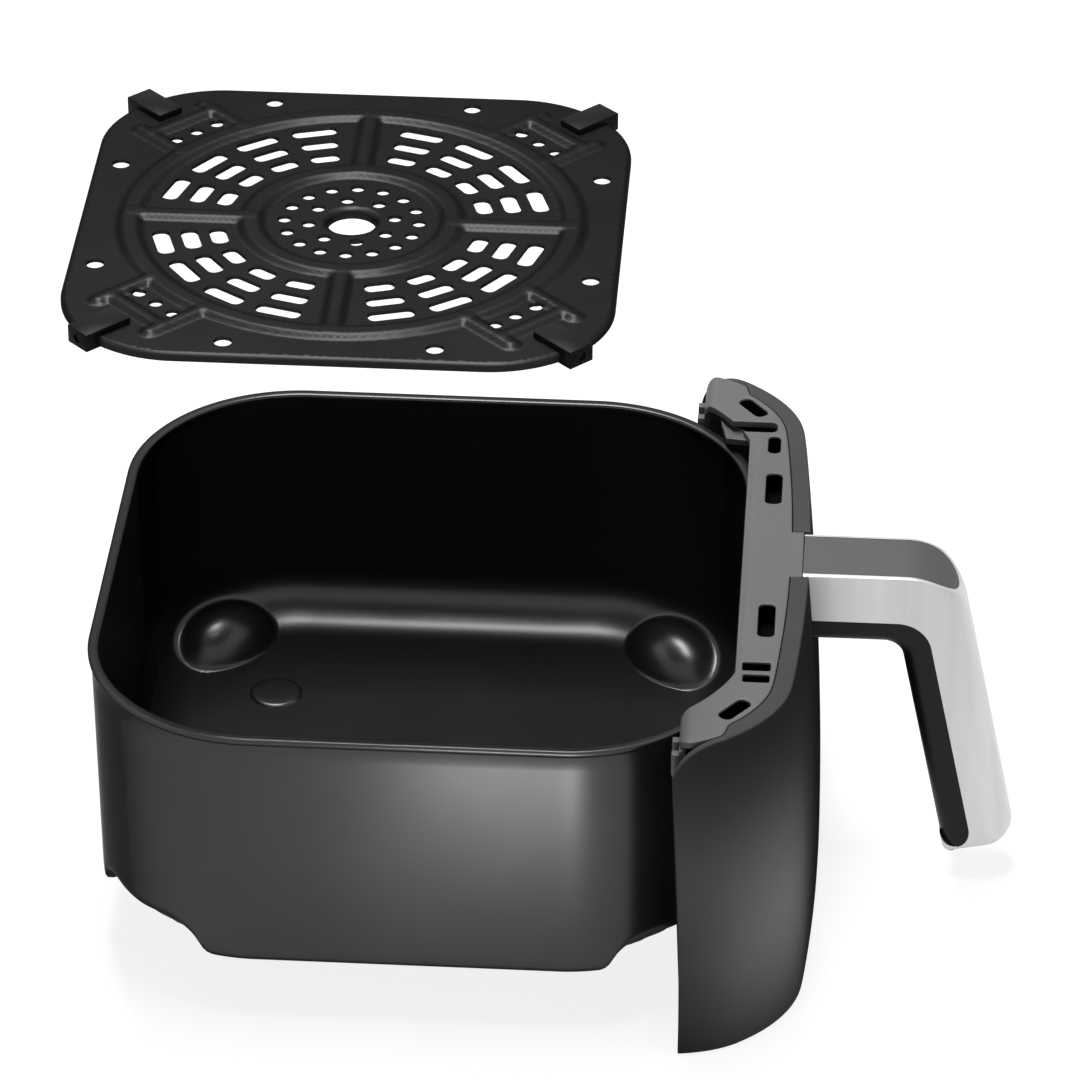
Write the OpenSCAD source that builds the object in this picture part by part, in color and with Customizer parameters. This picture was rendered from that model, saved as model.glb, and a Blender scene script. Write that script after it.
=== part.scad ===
// Drawer of a square basket air fryer: coated pan, wrap-round front cover, inner front frame,
// drop handle and a lift-out crisper plate with rubber bumpers.
// Frame: origin at the middle of the pan's flat underside, +Z up, handle toward -Y.

/* [Pan] */
// Outside width of the pan's rim, along X
pan_w = 248.4; // [230:0.1:260]
// Outside length of the pan's rim, along Y
pan_l = 245.6; // [230:0.1:250]
// Height of the rim above the underside
pan_h = 103.5; // [90:0.5:120]
// Corner radius of the rim, seen from above
pan_r = 66; // [56:1:72]
// Thickness of the pan's sheet
pan_t = 1.8; // [1.2:0.1:2.5]
// Width of the rim bead
rim_w = 4.2; // [3:0.1:6]
// Height of the rim bead
rim_h = 2.4; // [1.5:0.1:4]
// How far the wall stands in from the rim's outside
rim_out = 1.2; // [0.6:0.1:1.6]
// Radius of the bend between wall and floor
pan_bend_r = 6; // [4:0.5:9]
// Radius of the bend on the inside, between wall and floor
floor_r = 22; // [10:1:24]
// How far the wall draws in between rim and floor
draft = 1.2; // [0:0.1:2]
// Radius of the hollow under each bottom corner
scoop_r = 20; // [16:0.5:21]
// Half length of a hollow, between the centres of its round ends
scoop_half = 11.5; // [6:0.5:16]
// Distance of a hollow from the middle of the pan, along the diagonal
scoop_diag = 130; // [126:1:133]
// Depth of a hollow's centre line below the underside
scoop_drop = 3; // [1:0.5:6]
// Half width of the oval mound inside each bottom corner, along the diagonal
dome_out = 17; // [12:0.5:19]
// Half length of a mound, across the diagonal
dome_half = 24; // [18:0.5:28]
// Height of a mound's top above the underside
dome_h = 16.8; // [12:0.2:18]
// Diameter of the round pad pressed into the floor
pad_d = 20; // [14:1:30]
// Height of the pad
pad_h = 0.8; // [0.4:0.1:1.5]
// Place of the pad along X, from the middle
pad_x = 57.6; // [0:0.1:80]
// Place of the pad along Y, from the middle
pad_y = 66.6; // [0:0.1:75]

/* [Crisper plate] */
// Room between the plate's edge and the outside of the pan's rim
plate_clear = 24.2; // [22:0.1:29]
// Corner radius of the plate
plate_r = 45; // [38:1:50]
// Thickness of the plate's sheet
plate_t = 1.5; // [1:0.1:2]
// Depth of the turned-down edge
lip_h = 2.6; // [2:0.1:4]
// Height of the pressed ridges
ridge_h = 2; // [1:0.1:3]
// Width of the pressed ridges
ridge_w = 7; // [5:0.5:9]
// Mean radius of the outer ring ridge
outer_ring_r = 84; // [82:0.5:86]
// Mean radius of the inner ring ridge
inner_ring_r = 37; // [35:0.5:39]
// Diameter of the centre hole
centre_d = 17.8; // [14:0.2:22]
// Diameter of the round vent holes
vent_d = 5.2; // [4:0.1:6]
// Radius of the inner ring of vent holes
vent_ring_in = 15.9; // [13.5:0.1:17]
// Radius of the outer ring of vent holes
vent_ring_out = 24.8; // [23:0.1:28]
// Diameter of the holes near the edges
edge_hole_d = 6.8; // [5:0.1:8]
// Distance of those holes from the plate's edge
edge_hole_in = 10; // [8:0.1:11]
// Distance of those holes from the plate's middle, along the edge
edge_hole_side = 37.7; // [30:0.1:44]
// Distance of the corner holes from the plate's middle, along the diagonal
corner_hole_out = 91.4; // [90.5:0.1:93]
// Spacing of the three corner holes
corner_hole_step = 9.6; // [7:0.1:10]
// Width of the vent slots
slot_w = 6.4; // [5:0.1:7.2]
// Length of the longest vent slots
slot_l = 17.2; // [12:0.1:18]
// Radius of the outermost ring of slots
slot_ring = 70.1; // [69:0.1:72]
// Spacing of the rings of slots
slot_step = 10.3; // [9.5:0.1:10.6]
// Spacing of the two rails of each corner's ladder
ladder_w = 30; // [28:0.5:34]
// Length of a ladder's rails beyond the outer ring
ladder_l = 23; // [18:0.5:24]

/* [Plate travel] */
// Height of the plate's top face above the pan's underside, lifted out
lift_z = 250.6; // [240:0.1:260]
// How far the lifted plate hangs back from the middle of the pan
lift_y = 27.5; // [0:0.1:30]
// How far the plate is let down along its slide, from lifted out
plate_down = 0; // [0:1:228]

/* [Bumpers] */
// Length of a bumper along the plate's diagonal
bumper_l = 20; // [16:0.5:22]
// Width of a bumper
bumper_w = 10.8; // [9:0.1:12]
// Height of a bumper above the plate's top face
bumper_up = 2.8; // [2:0.1:4]
// Depth of a bumper below the plate's top face
bumper_down = 4.2; // [3.8:0.1:5]
// How far a bumper stands out past the plate's corner
bumper_out = 4.2; // [2.2:0.1:5.2]

/* [Front cover] */
// Height of the cover's top face above the pan's rim
front_up = 9.7; // [7:0.1:12]
// Depth of the cover's lower edge below the pan's underside
front_drop = 24; // [10:0.5:30]
// How far the cover's wings stand out past the pan's rim
wing_out = 9.8; // [6:0.2:12]
// Distance of the cover's face in front of the pan's rim, at the top
face_out = 21.9; // [20:0.1:24]
// Corner radius of the cover, seen from above
cover_r = 46; // [40:1:50]
// How far the face leans out between top and bottom
face_lean = 7; // [4:0.5:9]
// How far the face bows out between its corners and its middle
bow = 3.2; // [2:0.1:4]
// Wall thickness of the cover
cover_t = 2.4; // [2:0.1:3]
// Width of the flat border round the cover's top
border_w = 6.8; // [6:0.1:7]
// How far the side wings reach back from the front of the pan's rim
wing_back = 25.3; // [24:0.1:27]
// Radius of the wings' top rear corner
shoulder_r = 18; // [12:1:20]

/* [Front frame] */
// How far the frame's rear edge laps over the pan's rim behind the handle
frame_lap = 3.6; // [3.2:0.1:3.8]
// Thickness of the frame's top
frame_t = 2.5; // [2:0.1:3]
// Gap between the pan's rim and the frame's upright panel
panel_gap = 1.6; // [1.2:0.1:2.2]
// Thickness of the frame's upright panel
panel_t = 2; // [1.6:0.1:2.4]
// Half width of the frame's upright panel
panel_half = 112; // [104:1:114]
// Depth of the frame's bottom flange
flange_l = 18; // [10:0.5:19]
// Distance of the ports' inner edges in front of the frame's rear edge
port_in = 7.2; // [7.2:0.1:8]
// Distance of the ports' outer edges in front of the frame's rear edge
port_out = 13.6; // [12:0.1:14.6]

/* [Fastening] */
// Half width of the strap between pan and frame
bracket_half = 62; // [56:1:70]
// Height of the strap's lower edge above the underside
bracket_z = 40; // [20:1:50]
// Height of the strap
bracket_h = 40; // [30:1:45]
// Diameter of the strap's rivets
rivet_d = 4; // [3:0.1:5]
// Diameter of the screws between frame and cover
screw_d = 3; // [2.5:0.1:4]
// Diameter of the cover's screw bosses
boss_d = 9; // [8:0.5:11]
// Diameter of the screws in the handle's bar
handle_screw_d = 4; // [3:0.1:4.5]
// Height of a screw's head
head_h = 1; // [0.8:0.1:1.2]

/* [Handle] */
// Width of the handle's shell
handle_w = 30; // [26:0.5:31]
// Width of the strip let into the top
strip_w = 26; // [20:0.5:26.5]
// Angle between the handle's drop and the vertical
drop_a = 12; // [8:0.5:16]
// Length of the drop below the centre of the bend
drop_l = 102.4; // [90:0.2:110]
// Distance of the bend's centre in front of the cover's face
reach = 36.3; // [31:0.5:41]
// Outer radius of the bend
bend_r = 25.5; // [22:0.5:27]
// Thickness of the strip on top
strip_t = 2.2; // [1.5:0.1:3]
// Thickness of the shell's front from the bend's centre to the grip, on the drop
grip_in = 9.5; // [8:0.1:12]
// Depth of the rounding across the drop's front
nose_l = 9; // [4:0.5:12]
// Thickness of the grip, on the drop
grip_t = 11.4; // [9:0.1:12]
// Thickness of the shell and bar above the grip, on the level part
level_t = 20; // [18:0.1:21]
// Thickness of the shell round its bar
shell_t = 4.3; // [3.6:0.1:4.6]
// Width of the bar inside the handle
core_w = 20; // [16:0.5:22]

/* [Hidden] */
$fn = 64;
gap = 0.2;
big = 400;
// Pan
rim_z = pan_h - rim_h;
wall_w = pan_w - 2 * rim_out;
wall_l = pan_l - 2 * rim_out;
wall_r = pan_r - rim_out;
// Cover and frame
cover_half = pan_w / 2 + wing_out;
face_y = pan_l / 2 + face_out;
front_top = pan_h + front_up;
wing_y = pan_l / 2 - wing_back;
frame_y = pan_l / 2 - frame_lap;
panel_y = pan_l / 2 + panel_gap;
clip_in = 16;
front_h = front_top + front_drop;
lean_a = asin(face_lean / front_h);
bow_half = cover_half - cover_r;
bow_r = (bow_half * bow_half + bow * bow) / (2 * bow);
corner_y = face_y - bow - cover_r;
frame_rear = wing_y + 3;
frame_roll = 4;
skirt_h = 16;
skirt_x = cover_half - cover_t - 3 * gap - 2;
lip_t = 1.8;
// Strap, screws and rivets
strap_t = panel_y - wall_l / 2;
rivet_xs = [-0.77, -0.26, 0.26, 0.77] * bracket_half;
rivet_z = bracket_z + 3 * rivet_d;
screw_xs = [-1, 1] * (panel_half - 16);
screw_zs = [2, front_top - 25];
panel_front = panel_y + panel_t;
// Handle
bend_y = face_y + reach;
drop_end_r = 5;
shell_back = face_y - cover_t + 0.1;
bend_z = front_top - bend_r;
handle_screw_xs = [-0.27, 0.27] * core_w;
// Heights of the grip's end and the bar's end above the drop's own
grip_up = 3;
core_up = 12;
// A bend [y, z, radius] that turns from level at the height top to a line at x in front of the
// drop's axis
function bend(y, top, x) =
    let (r = (x - (y - bend_y) * cos(drop_a) - (top - bend_z) * sin(drop_a)) / (1 - sin(drop_a)))
    [y, top - r, r];
// The bend between shell and grip, and the bend of the grip's own surface
grip_bend = bend(bend_y - 2.5, front_top - level_t, grip_in);
palm_bend = bend(bend_y - 7.5, front_top - level_t - 9.7, grip_in - grip_t);
core_bend_in = grip_bend + [0, 0, 3.5];
core_bend_out = [bend_y, bend_z, bend_r - shell_t];
core_top = front_top - shell_t;
core_foot = core_bend_in[1] + core_bend_in[2];
handle_screw_z = (core_top + core_foot) / 2;
// Plate
plate_half = pan_w / 2 - plate_clear;
edge_hole_out = plate_half - edge_hole_in;
bumper_end = sqrt(2) * (plate_half - plate_r) + plate_r + bumper_out;
seat_z = dome_h + bumper_down + 0.1;
slot_rings = [for (i = [0 : 2]) [slot_ring - i * slot_step, slot_l - 3 * i]];
slot_angles = [16.8, 35.7, 54.3, 73.2];
lift = [0, lift_y, lift_z];
slide = lift - [0, 0, seat_z];

// A rounded rectangle about the origin
module plan(w, l, r) {
    square([w - 2 * r, l], center = true);
    square([w, l - 2 * r], center = true);
    for (x = [-1, 1], y = [-1, 1])
        translate([x * (w / 2 - r), y * (l / 2 - r)]) circle(r, $fn = 96);
}

// A tray-shaped block: drafted walls, rounded corners, and a bend of radius b round its foot.
// It is wide by w and long by l at its top edge, h up.
module tray(w, l, r, b, h) {
    hull() for (x = [-1, 1], y = [-1, 1])
        translate([x * (w / 2 - r), y * (l / 2 - r)]) rotate_extrude($fn = 56) {
            translate([r - draft - b, b]) intersection() {
                circle(b, $fn = b < 10 ? 20 : 32);
                translate([0, -b]) square(b);
            }
            translate([0, b]) polygon([[0, -b], [r - draft - b, -b], [r - draft, 0],
                                       [r, h - b], [0, h - b]]);
        }
}

// Runs its children out to the four corners, along the diagonals
module corners() {
    for (a = [45 : 90 : 315]) rotate(a) children();
}

// A lying bar with round ends, across the diagonal at each bottom corner
module corner_bar(r) {
    corners() translate([scoop_diag, 0, -scoop_drop])
        hull() for (s = [-1, 1]) translate([0, s * scoop_half, 0]) sphere(r, $fn = 32);
}

// The oval mound over it, its surface drawn in by d
module corner_dome(d) {
    corners() translate([scoop_diag, 0, -scoop_drop])
        scale([dome_out - d, dome_half - d, dome_h + scoop_drop - d]) sphere(1, $fn = 36);
}

module pan() {
    color("#262626") {
        difference() {
            tray(wall_w, wall_l, wall_r, pan_bend_r, rim_z);
            difference() {
                translate([0, 0, pan_t])
                    tray(wall_w - 2 * pan_t, wall_l - 2 * pan_t, wall_r - pan_t, floor_r, pan_h);
                corner_dome(0);
            }
            // the hollow reaches up to a sheet's thickness under the bend and the mound
            difference() {
                corner_bar(scoop_r);
                tray(wall_w, wall_l, wall_r, floor_r + pan_t, rim_z);
            }
            corner_dome(pan_t);
            rivet_holes();
        }
        translate([0, 0, rim_z]) linear_extrude(rim_h) difference() {
            plan(pan_w, pan_l, pan_r);
            plan(pan_w - 2 * rim_w, pan_l - 2 * rim_w, pan_r - rim_w);
        }
        translate([pad_x, pad_y, pan_t]) cylinder(d = pad_d, h = pad_h);
    }
}

module rivet_holes() {
    for (x = rivet_xs) translate([x, -wall_l / 2, rivet_z])
        rotate([90, 0, 0]) cylinder(d = rivet_d, h = 20, center = true);
}

// Steel strap between the pan's front wall and the frame's panel
module pan_bracket() {
    color("#9a9a98") difference() {
        translate([-bracket_half, -panel_y, bracket_z])
            cube([2 * bracket_half, strap_t, bracket_h]);
        rivet_holes();
        translate([0, -panel_y, bracket_z + 0.8 * bracket_h])
            cube([bracket_half, 20, bracket_h / 6], center = true);
    }
}

module bracket_rivets() {
    color("#b5b5b2") for (x = rivet_xs) translate([x, -wall_l / 2 + pan_t, rivet_z])
        rotate([90, 0, 0]) {
            cylinder(d = rivet_d, h = strap_t + pan_t);
            translate([0, 0, -rivet_d / 3]) cylinder(d = 2 * rivet_d, h = rivet_d / 3);
        }
}

// The cover's outline from above, drawn in by d: a slightly bowed face and round corners
module cover_plan(d = 0) {
    intersection() {
        union() {
            translate([-bow_half, -face_y + d]) square([2 * bow_half, face_y]);
            translate([-cover_half + d, -corner_y]) square([2 * (cover_half - d), corner_y]);
            for (s = [-1, 1]) translate([s * bow_half, -corner_y])
                circle(cover_r - d, $fn = 120);
        }
        translate([0, bow_r - face_y]) circle(bow_r - d, $fn = 720);
        translate([-cover_half, -face_y]) square([2 * cover_half, face_y - wing_y]);
    }
}

// Leans its children about the cover's top front edge
module leaning() {
    translate([0, -face_y, front_top]) rotate([-lean_a, 0, 0])
        translate([0, face_y, -front_top]) children();
}

// Turns a drawing of (distance in front, height) into a slab w wide across X
module side(w) {
    rotate([90, 0, -90]) linear_extrude(w, center = true) children();
}

// What lies in front of the edge at y, under a shoulder of radius r
module shoulder(y, r) {
    translate([y + r, -front_drop]) square([100, front_h]);
    translate([y, -front_drop - 10]) square([100, front_h - r + 10]);
    translate([y + r, front_top - r]) circle(r);
}

// The wings' rear ends, where the frame's top reaches out to the cover's wall
module wing_ends(g) {
    intersection() {
        cover_plan(cover_t + g);
        for (s = [-1, 1]) translate([s * cover_half - shoulder_r, -wing_y - shoulder_r - 2 + g])
            square(2 * shoulder_r);
    }
}

module leaning_block(d) {
    leaning() translate([0, 0, -front_drop - 4]) linear_extrude(front_h + 12) cover_plan(d);
}

module front_cover() {
    color("#3a3a3a") difference() {
        intersection() {
            union() {
                difference() { leaning_block(0); leaning_block(cover_t); }
                translate([0, 0, front_top - cover_t]) linear_extrude(cover_t) difference() {
                    cover_plan(cover_t / 2);
                    cover_plan(border_w);
                    wing_ends(0.2);
                }
                intersection() {
                    leaning_block(cover_t / 2);
                    for (x = screw_xs, z = screw_zs) translate([x, -panel_front - gap, z])
                        rotate([90, 0, 0]) cylinder(d = boss_d, h = 40);
                }
            }
            side(3 * cover_half) shoulder(wing_y, shoulder_r);
            translate([-big / 2, -big / 2, -front_drop]) cube([big, big, front_h]);
        }
        translate([-handle_w / 2 - 1, -face_y - 20, palm_bend[1] + palm_bend[2] - 0.6])
            cube([handle_w + 2, 40, 40]);
        for (x = screw_xs, z = screw_zs) translate([x, -panel_front, z])
            rotate([90, 0, 0]) cylinder(d = screw_d, h = 3 * screw_d);
    }
}

// The frame's top outline: up to the border's seam in front. Behind, it overhangs the middle
// of the pan's rim and keeps clear of the rim's corners.
module frame_plan() {
    difference() {
        union() {
            cover_plan(border_w + gap);
            wing_ends(3 * gap);
            translate([-handle_w / 2 - 0.8, -shell_back + gap]) square([handle_w + 1.6, 20]);
        }
        intersection() {
            plan(pan_w + 6 * gap, pan_l + 6 * gap, pan_r + 3 * gap);
            translate([-big / 2, -frame_y]) square(big);
        }
        translate([-big / 2, -frame_rear]) square(big);
    }
}

// A port between two corners of a box, with rounded corners
module port(x0, y0, x1, y1, r = 1.4) {
    translate([(x0 + x1) / 2, (y0 + y1) / 2]) plan(abs(x1 - x0), abs(y1 - y0), r);
}

module frame_ports() {
    y_in = -frame_y - port_in;
    y_out = -frame_y - port_out;
    for (s = [-1, 1]) {
        port(s * 35.5, y_in, s * 57.5, y_out);
        translate([s * bow_half, -corner_y]) rotate(-90 + s * 37) translate([cover_r - 15.5, 0])
            plan(5.8, 14.6, 2.4);
        port(s * (cover_half - 6.5), -wing_y, s * (cover_half - 2.6), -frame_rear - 3.4, 0.4);
    }
    port(72.6, y_in, 85, y_out + 1.4);
    port(88.2, -frame_rear + 5, 95.6, y_out + 3, 3);
    port(-74.9, -frame_y - 1.6, -80.4, y_out - 0.5, 0.6);
    port(-83, -frame_y - 2.4, -88, y_out - 0.5, 0.6);
}

// A clearance hole and a flat recess for each screw through the frame's panel
module panel_hole(x, z, d, head_d) {
    translate([x, -panel_y, z]) rotate([90, 0, 0]) {
        cylinder(d = d + 2 * gap, h = 20, center = true);
        cylinder(d = head_d + 2 * gap, h = head_h);
    }
}

module front_frame() {
    foot = -front_drop + 2;
    color("#4a4a4a") difference() {
        union() {
            intersection() {
                linear_extrude(front_top) frame_plan();
                side(3 * cover_half) shoulder(frame_rear, frame_roll);
                // a sheet with skirts at the wings' ends
                difference() {
                    translate([-big / 2, -big / 2, front_top - skirt_h]) cube([big, big, big]);
                    translate([-skirt_x, -big - frame_rear - frame_t, -frame_t])
                        cube([2 * skirt_x, big, front_top]);
                }
            }
            translate([-pan_w / 2 + pan_r, -frame_y - lip_t, pan_h])
                cube([pan_w - 2 * pan_r, lip_t, front_top - frame_t - pan_h]);
            translate([-panel_half, -panel_front, foot])
                cube([2 * panel_half, panel_t, front_top - frame_t - foot]);
            translate([-panel_half + 12, -panel_y - flange_l, foot])
                cube([2 * panel_half - 24, flange_l, 2]);
        }
        translate([0, 0, front_top - 6]) linear_extrude(10) frame_ports();
        for (x = screw_xs, z = screw_zs) panel_hole(x, z, screw_d, 2 * screw_d);
        for (x = handle_screw_xs) panel_hole(x, handle_screw_z, handle_screw_d, 7.2);
    }
}

// A flat-headed screw that points along -Y, its head in the frame's panel
module screw(x, z, d, head_d, l) {
    translate([x, -panel_y, z]) rotate([90, 0, 0]) {
        cylinder(d = head_d, h = head_h);
        cylinder(d = d, h = l);
    }
}

module frame_screws() {
    color("#8a8a88") for (x = screw_xs, z = screw_zs) screw(x, z, screw_d, 2 * screw_d, 9);
}

// A small notched guide on the frame's rear edge, at the end of a wing
module guide_clip(s) {
    top = front_top - 9.2;
    color("#5a5a5a") translate([s * (cover_half - clip_in), 0]) difference() {
        side(12) polygon([[frame_rear, top], [frame_rear - 2.8, top], [frame_rear - 2.8, top - 8],
                          [frame_rear - 0.8, top - 16], [frame_rear, top - 16]]);
        translate([-2.4, -frame_rear - 1, top - 7]) cube([5, 5, 10]);
    }
}

module guide_clip_left() { guide_clip(-1); }

module guide_clip_right() { guide_clip(1); }

// The points of an arc about c from the angle a0 to a1
function arc(c, r, a0, a1, n = 26) =
    [for (i = [0 : n]) let (a = a0 + (a1 - a0) * i / n) [c[0] + r * cos(a), c[1] + r * sin(a)]];

// How far the drop's line after the bend b lies in front of the drop's axis
function drop_x(b) = (b[0] - bend_y) * cos(drop_a) + (b[1] - bend_z) * sin(drop_a) + b[2];

// A point given along and across the drop, from the centre of the bend
function on_drop(x, z) = [bend_y + x * cos(drop_a) - z * sin(drop_a),
                          bend_z + x * sin(drop_a) + z * cos(drop_a)];

// The handle's side view between the bends b and c: level from y0, round the bend, and down
// the drop to its end, which lies up from the handle's own and has corners of radius r
module band(b, c, up, r, y0 = shell_back) {
    end = up + r - drop_l;
    polygon(concat([[y0, b[1] + b[2]]],
                   arc(b, b[2], 90, drop_a),
                   arc(on_drop(drop_x(b) - r, end), r, drop_a, drop_a - 90, 8),
                   arc(on_drop(drop_x(c) + r, end), r, drop_a - 90, drop_a - 180, 8),
                   arc(c, c[2], drop_a, 90),
                   [[y0, c[1] + c[2]]]));
}

// The grip's shape from the side, from y0
module grip_side(y0 = shell_back) {
    band(grip_bend, palm_bend, grip_up, 5.2, y0);
}

// Everything behind the rounded front of the drop
module nose() {
    translate([0, -bend_y, bend_z]) rotate([-drop_a, 0, 0])
        translate([0, 0, -big]) linear_extrude(2 * big)
            polygon(concat([[-handle_w, big], [-handle_w, nose_l - bend_r]],
                           [for (p = arc([0, 0], 1, 180, 360, 28))
                               [p[0] * handle_w / 2, nose_l - bend_r + p[1] * nose_l]],
                           [[handle_w, nose_l - bend_r], [handle_w, big]]));
}

// The top strip's depth, seen from the side, and d above its face
module top_band(d = 0) {
    band([bend_y, bend_z, bend_r + d], [bend_y, bend_z, bend_r - strip_t], core_up, 0.5);
}

// The bar's shape from the side, from y0
module core_side(y0 = shell_back) {
    band(core_bend_out, core_bend_in, core_up, 1, y0);
}

// The strip's outline from above, from the depth y0 to a half round end at the bend
module strip_plan(y0) {
    polygon(concat([[strip_w / 2, -y0], [-strip_w / 2, -y0]],
                   arc([0, -bend_y - 8], strip_w / 2, 180, 360, 32)));
}

module handle_shell() {
    color("#c9c9c9") difference() {
        intersection() {
            side(handle_w) band([bend_y, bend_z, bend_r], palm_bend, 0, drop_end_r);
            nose();
        }
        side(handle_w + 2) grip_side(shell_back - 1);
        intersection() {
            side(strip_w) top_band(1);
            translate([0, 0, bend_z - 2]) linear_extrude(big) strip_plan(shell_back - 1);
        }
        side(core_w) core_side(shell_back - 1);
    }
}

module handle_top_strip() {
    color("#585858") intersection() {
        side(strip_w) top_band();
        translate([0, 0, bend_z - 2]) linear_extrude(big) strip_plan(shell_back);
    }
}

module handle_grip() {
    color("#333333") side(handle_w) grip_side();
}

// Steel bar inside the handle, from the frame's panel to near the drop's end
module handle_core() {
    color("#8f8f8c") difference() {
        side(core_w) core_side(panel_front);
        for (x = handle_screw_xs) translate([x, -panel_front, handle_screw_z])
            rotate([90, 0, 0]) cylinder(d = handle_screw_d, h = 9);
    }
}

module handle_screws() {
    color("#8a8a88") for (x = handle_screw_xs)
        screw(x, handle_screw_z, handle_screw_d, 7.2, 10);
}

// Moves the plate's pieces from their own frame, top face at Z = 0, to their place on the slide
module lifted() {
    translate(lift - plate_down * slide / norm(slide)) children();
}

// One radial slot of length l, r from the middle, at the angle a from +X
module vent_slot(r, l, a) {
    rotate(a) translate([r, 0]) plan(slot_w, l, 2.6);
}

module plate_holes() {
    circle(d = centre_d, $fn = 96);
    for (i = [0 : 7]) rotate(11 + i * 45) translate([vent_ring_in, 0]) circle(d = vent_d);
    for (i = [0 : 15]) rotate(i * 22.5) translate([vent_ring_out, 0]) circle(d = vent_d);
    for (q = [0 : 3], ring = slot_rings, a = slot_angles)
        vent_slot(ring[0], ring[1], -90 * q - a);
    corners() for (i = [-1 : 1]) translate([corner_hole_out, i * corner_hole_step])
        circle(d = vent_d);
    for (x = [-1, 1], y = [-1, 1]) {
        translate([x * edge_hole_out, y * edge_hole_side]) circle(d = edge_hole_d);
        translate([x * edge_hole_side, y * edge_hole_out]) circle(d = edge_hole_d);
    }
}

// The pressed ridges' outline: two rings, four spokes, and a ladder at each corner
module ridge_plan() {
    for (r = [inner_ring_r, outer_ring_r]) difference() {
        circle(r + ridge_w / 2, $fn = 180);
        circle(r - ridge_w / 2, $fn = 180);
    }
    for (a = [0 : 90 : 270]) rotate(a) translate([inner_ring_r, -ridge_w / 2])
        square([outer_ring_r - inner_ring_r, ridge_w]);
    corners() {
        for (s = [-1, 1]) translate([outer_ring_r, s * ladder_w / 2]) {
            translate([-2, -2.5]) square([ladder_l + 2, 5]);
            translate([ladder_l, 0]) circle(2.5);
        }
        translate([corner_hole_out + vent_d, -ladder_w / 2]) square([5, ladder_w]);
    }
}

module crisper_plate() {
    color("#1d1d1d") lifted() difference() {
        union() {
            translate([0, 0, -plate_t]) linear_extrude(plate_t)
                plan(2 * plate_half, 2 * plate_half, plate_r);
            linear_extrude(ridge_h) ridge_plan();
            translate([0, 0, -lip_h]) linear_extrude(lip_h) difference() {
                plan(2 * plate_half, 2 * plate_half, plate_r);
                plan(2 * (plate_half - plate_t), 2 * (plate_half - plate_t), plate_r - plate_t);
            }
            translate([0, 0, -lip_h - 1]) cylinder(d = centre_d + 3, h = lip_h + 1);
        }
        translate([0, 0, -big / 2]) linear_extrude(big) plate_holes();
    }
}

// A rubber block that clips over the plate's edge, on the diagonal at angle a
module bumper(a) {
    color("#232323") lifted() rotate(a) difference() {
        translate([bumper_end - bumper_l, -bumper_w / 2, -bumper_down])
            cube([bumper_l, bumper_w, bumper_down + bumper_up]);
        rotate(-a) translate([0, 0, -lip_h])
            linear_extrude(lip_h) plan(2 * plate_half, 2 * plate_half, plate_r);
        translate([bumper_end - 0.6, 0, -0.7]) rotate([0, 90, 0]) cylinder(d = 3.4, h = 2);
    }
}

module bumper_front_left() { bumper(225); }

module bumper_front_right() { bumper(315); }

module bumper_rear_left() { bumper(135); }

module bumper_rear_right() { bumper(45); }

pan();
pan_bracket();
bracket_rivets();
front_cover();
front_frame();
frame_screws();
guide_clip_left();
guide_clip_right();
handle_shell();
handle_top_strip();
handle_grip();
handle_core();
handle_screws();
crisper_plate();
bumper_front_left();
bumper_front_right();
bumper_rear_left();
bumper_rear_right();
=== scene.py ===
from math import asin, cos, hypot, pi, radians, sin, sqrt
from types import SimpleNamespace

import bmesh
import bpy
import numpy as np
from mathutils import Matrix, Vector
from mathutils.geometry import delaunay_2d_cdt
from mathutils.kdtree import KDTree


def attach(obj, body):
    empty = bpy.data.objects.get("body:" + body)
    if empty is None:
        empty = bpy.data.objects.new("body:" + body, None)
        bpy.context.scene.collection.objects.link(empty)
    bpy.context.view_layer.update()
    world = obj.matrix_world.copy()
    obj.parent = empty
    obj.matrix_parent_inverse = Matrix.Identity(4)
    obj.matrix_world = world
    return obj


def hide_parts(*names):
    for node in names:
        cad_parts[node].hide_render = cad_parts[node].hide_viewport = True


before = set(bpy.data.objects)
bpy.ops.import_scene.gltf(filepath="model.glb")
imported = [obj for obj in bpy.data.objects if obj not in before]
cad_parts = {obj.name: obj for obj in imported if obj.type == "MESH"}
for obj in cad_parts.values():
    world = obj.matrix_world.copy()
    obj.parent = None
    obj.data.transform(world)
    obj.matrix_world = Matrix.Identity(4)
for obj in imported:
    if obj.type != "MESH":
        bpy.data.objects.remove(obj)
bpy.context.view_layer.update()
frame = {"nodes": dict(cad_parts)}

bl_info = {
    "name": "Air fryer drawer",
    "version": (1, 0, 0),
    "blender": (4, 5, 0),
    "location": "3D View > Sidebar > Drawer",
    "description": "A coated pan, its wrap-round front, drop handle and crisper plate",
    "category": "Add Mesh",
}

MM = 0.001
WELD = 0.0001 * MM
QUARTERS = ((1, 1), (1, -1), (-1, 1), (-1, -1))


# ---- sizes and colours

def length(name, description, millimetres):
    return bpy.props.FloatProperty(
        name=name, description=description, default=millimetres * MM, unit="LENGTH",
        subtype="DISTANCE", precision=4, soft_min=0)


def angle(name, description, degrees):
    return bpy.props.FloatProperty(
        name=name, description=description, default=radians(degrees), unit="ROTATION",
        subtype="ANGLE")


def number(name, description, value):
    return bpy.props.FloatProperty(name=name, description=description, default=value)


def colour(name, description, value):
    return bpy.props.FloatVectorProperty(
        name=name, description=description, default=value, subtype="COLOR", size=3,
        min=0, max=1)


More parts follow.
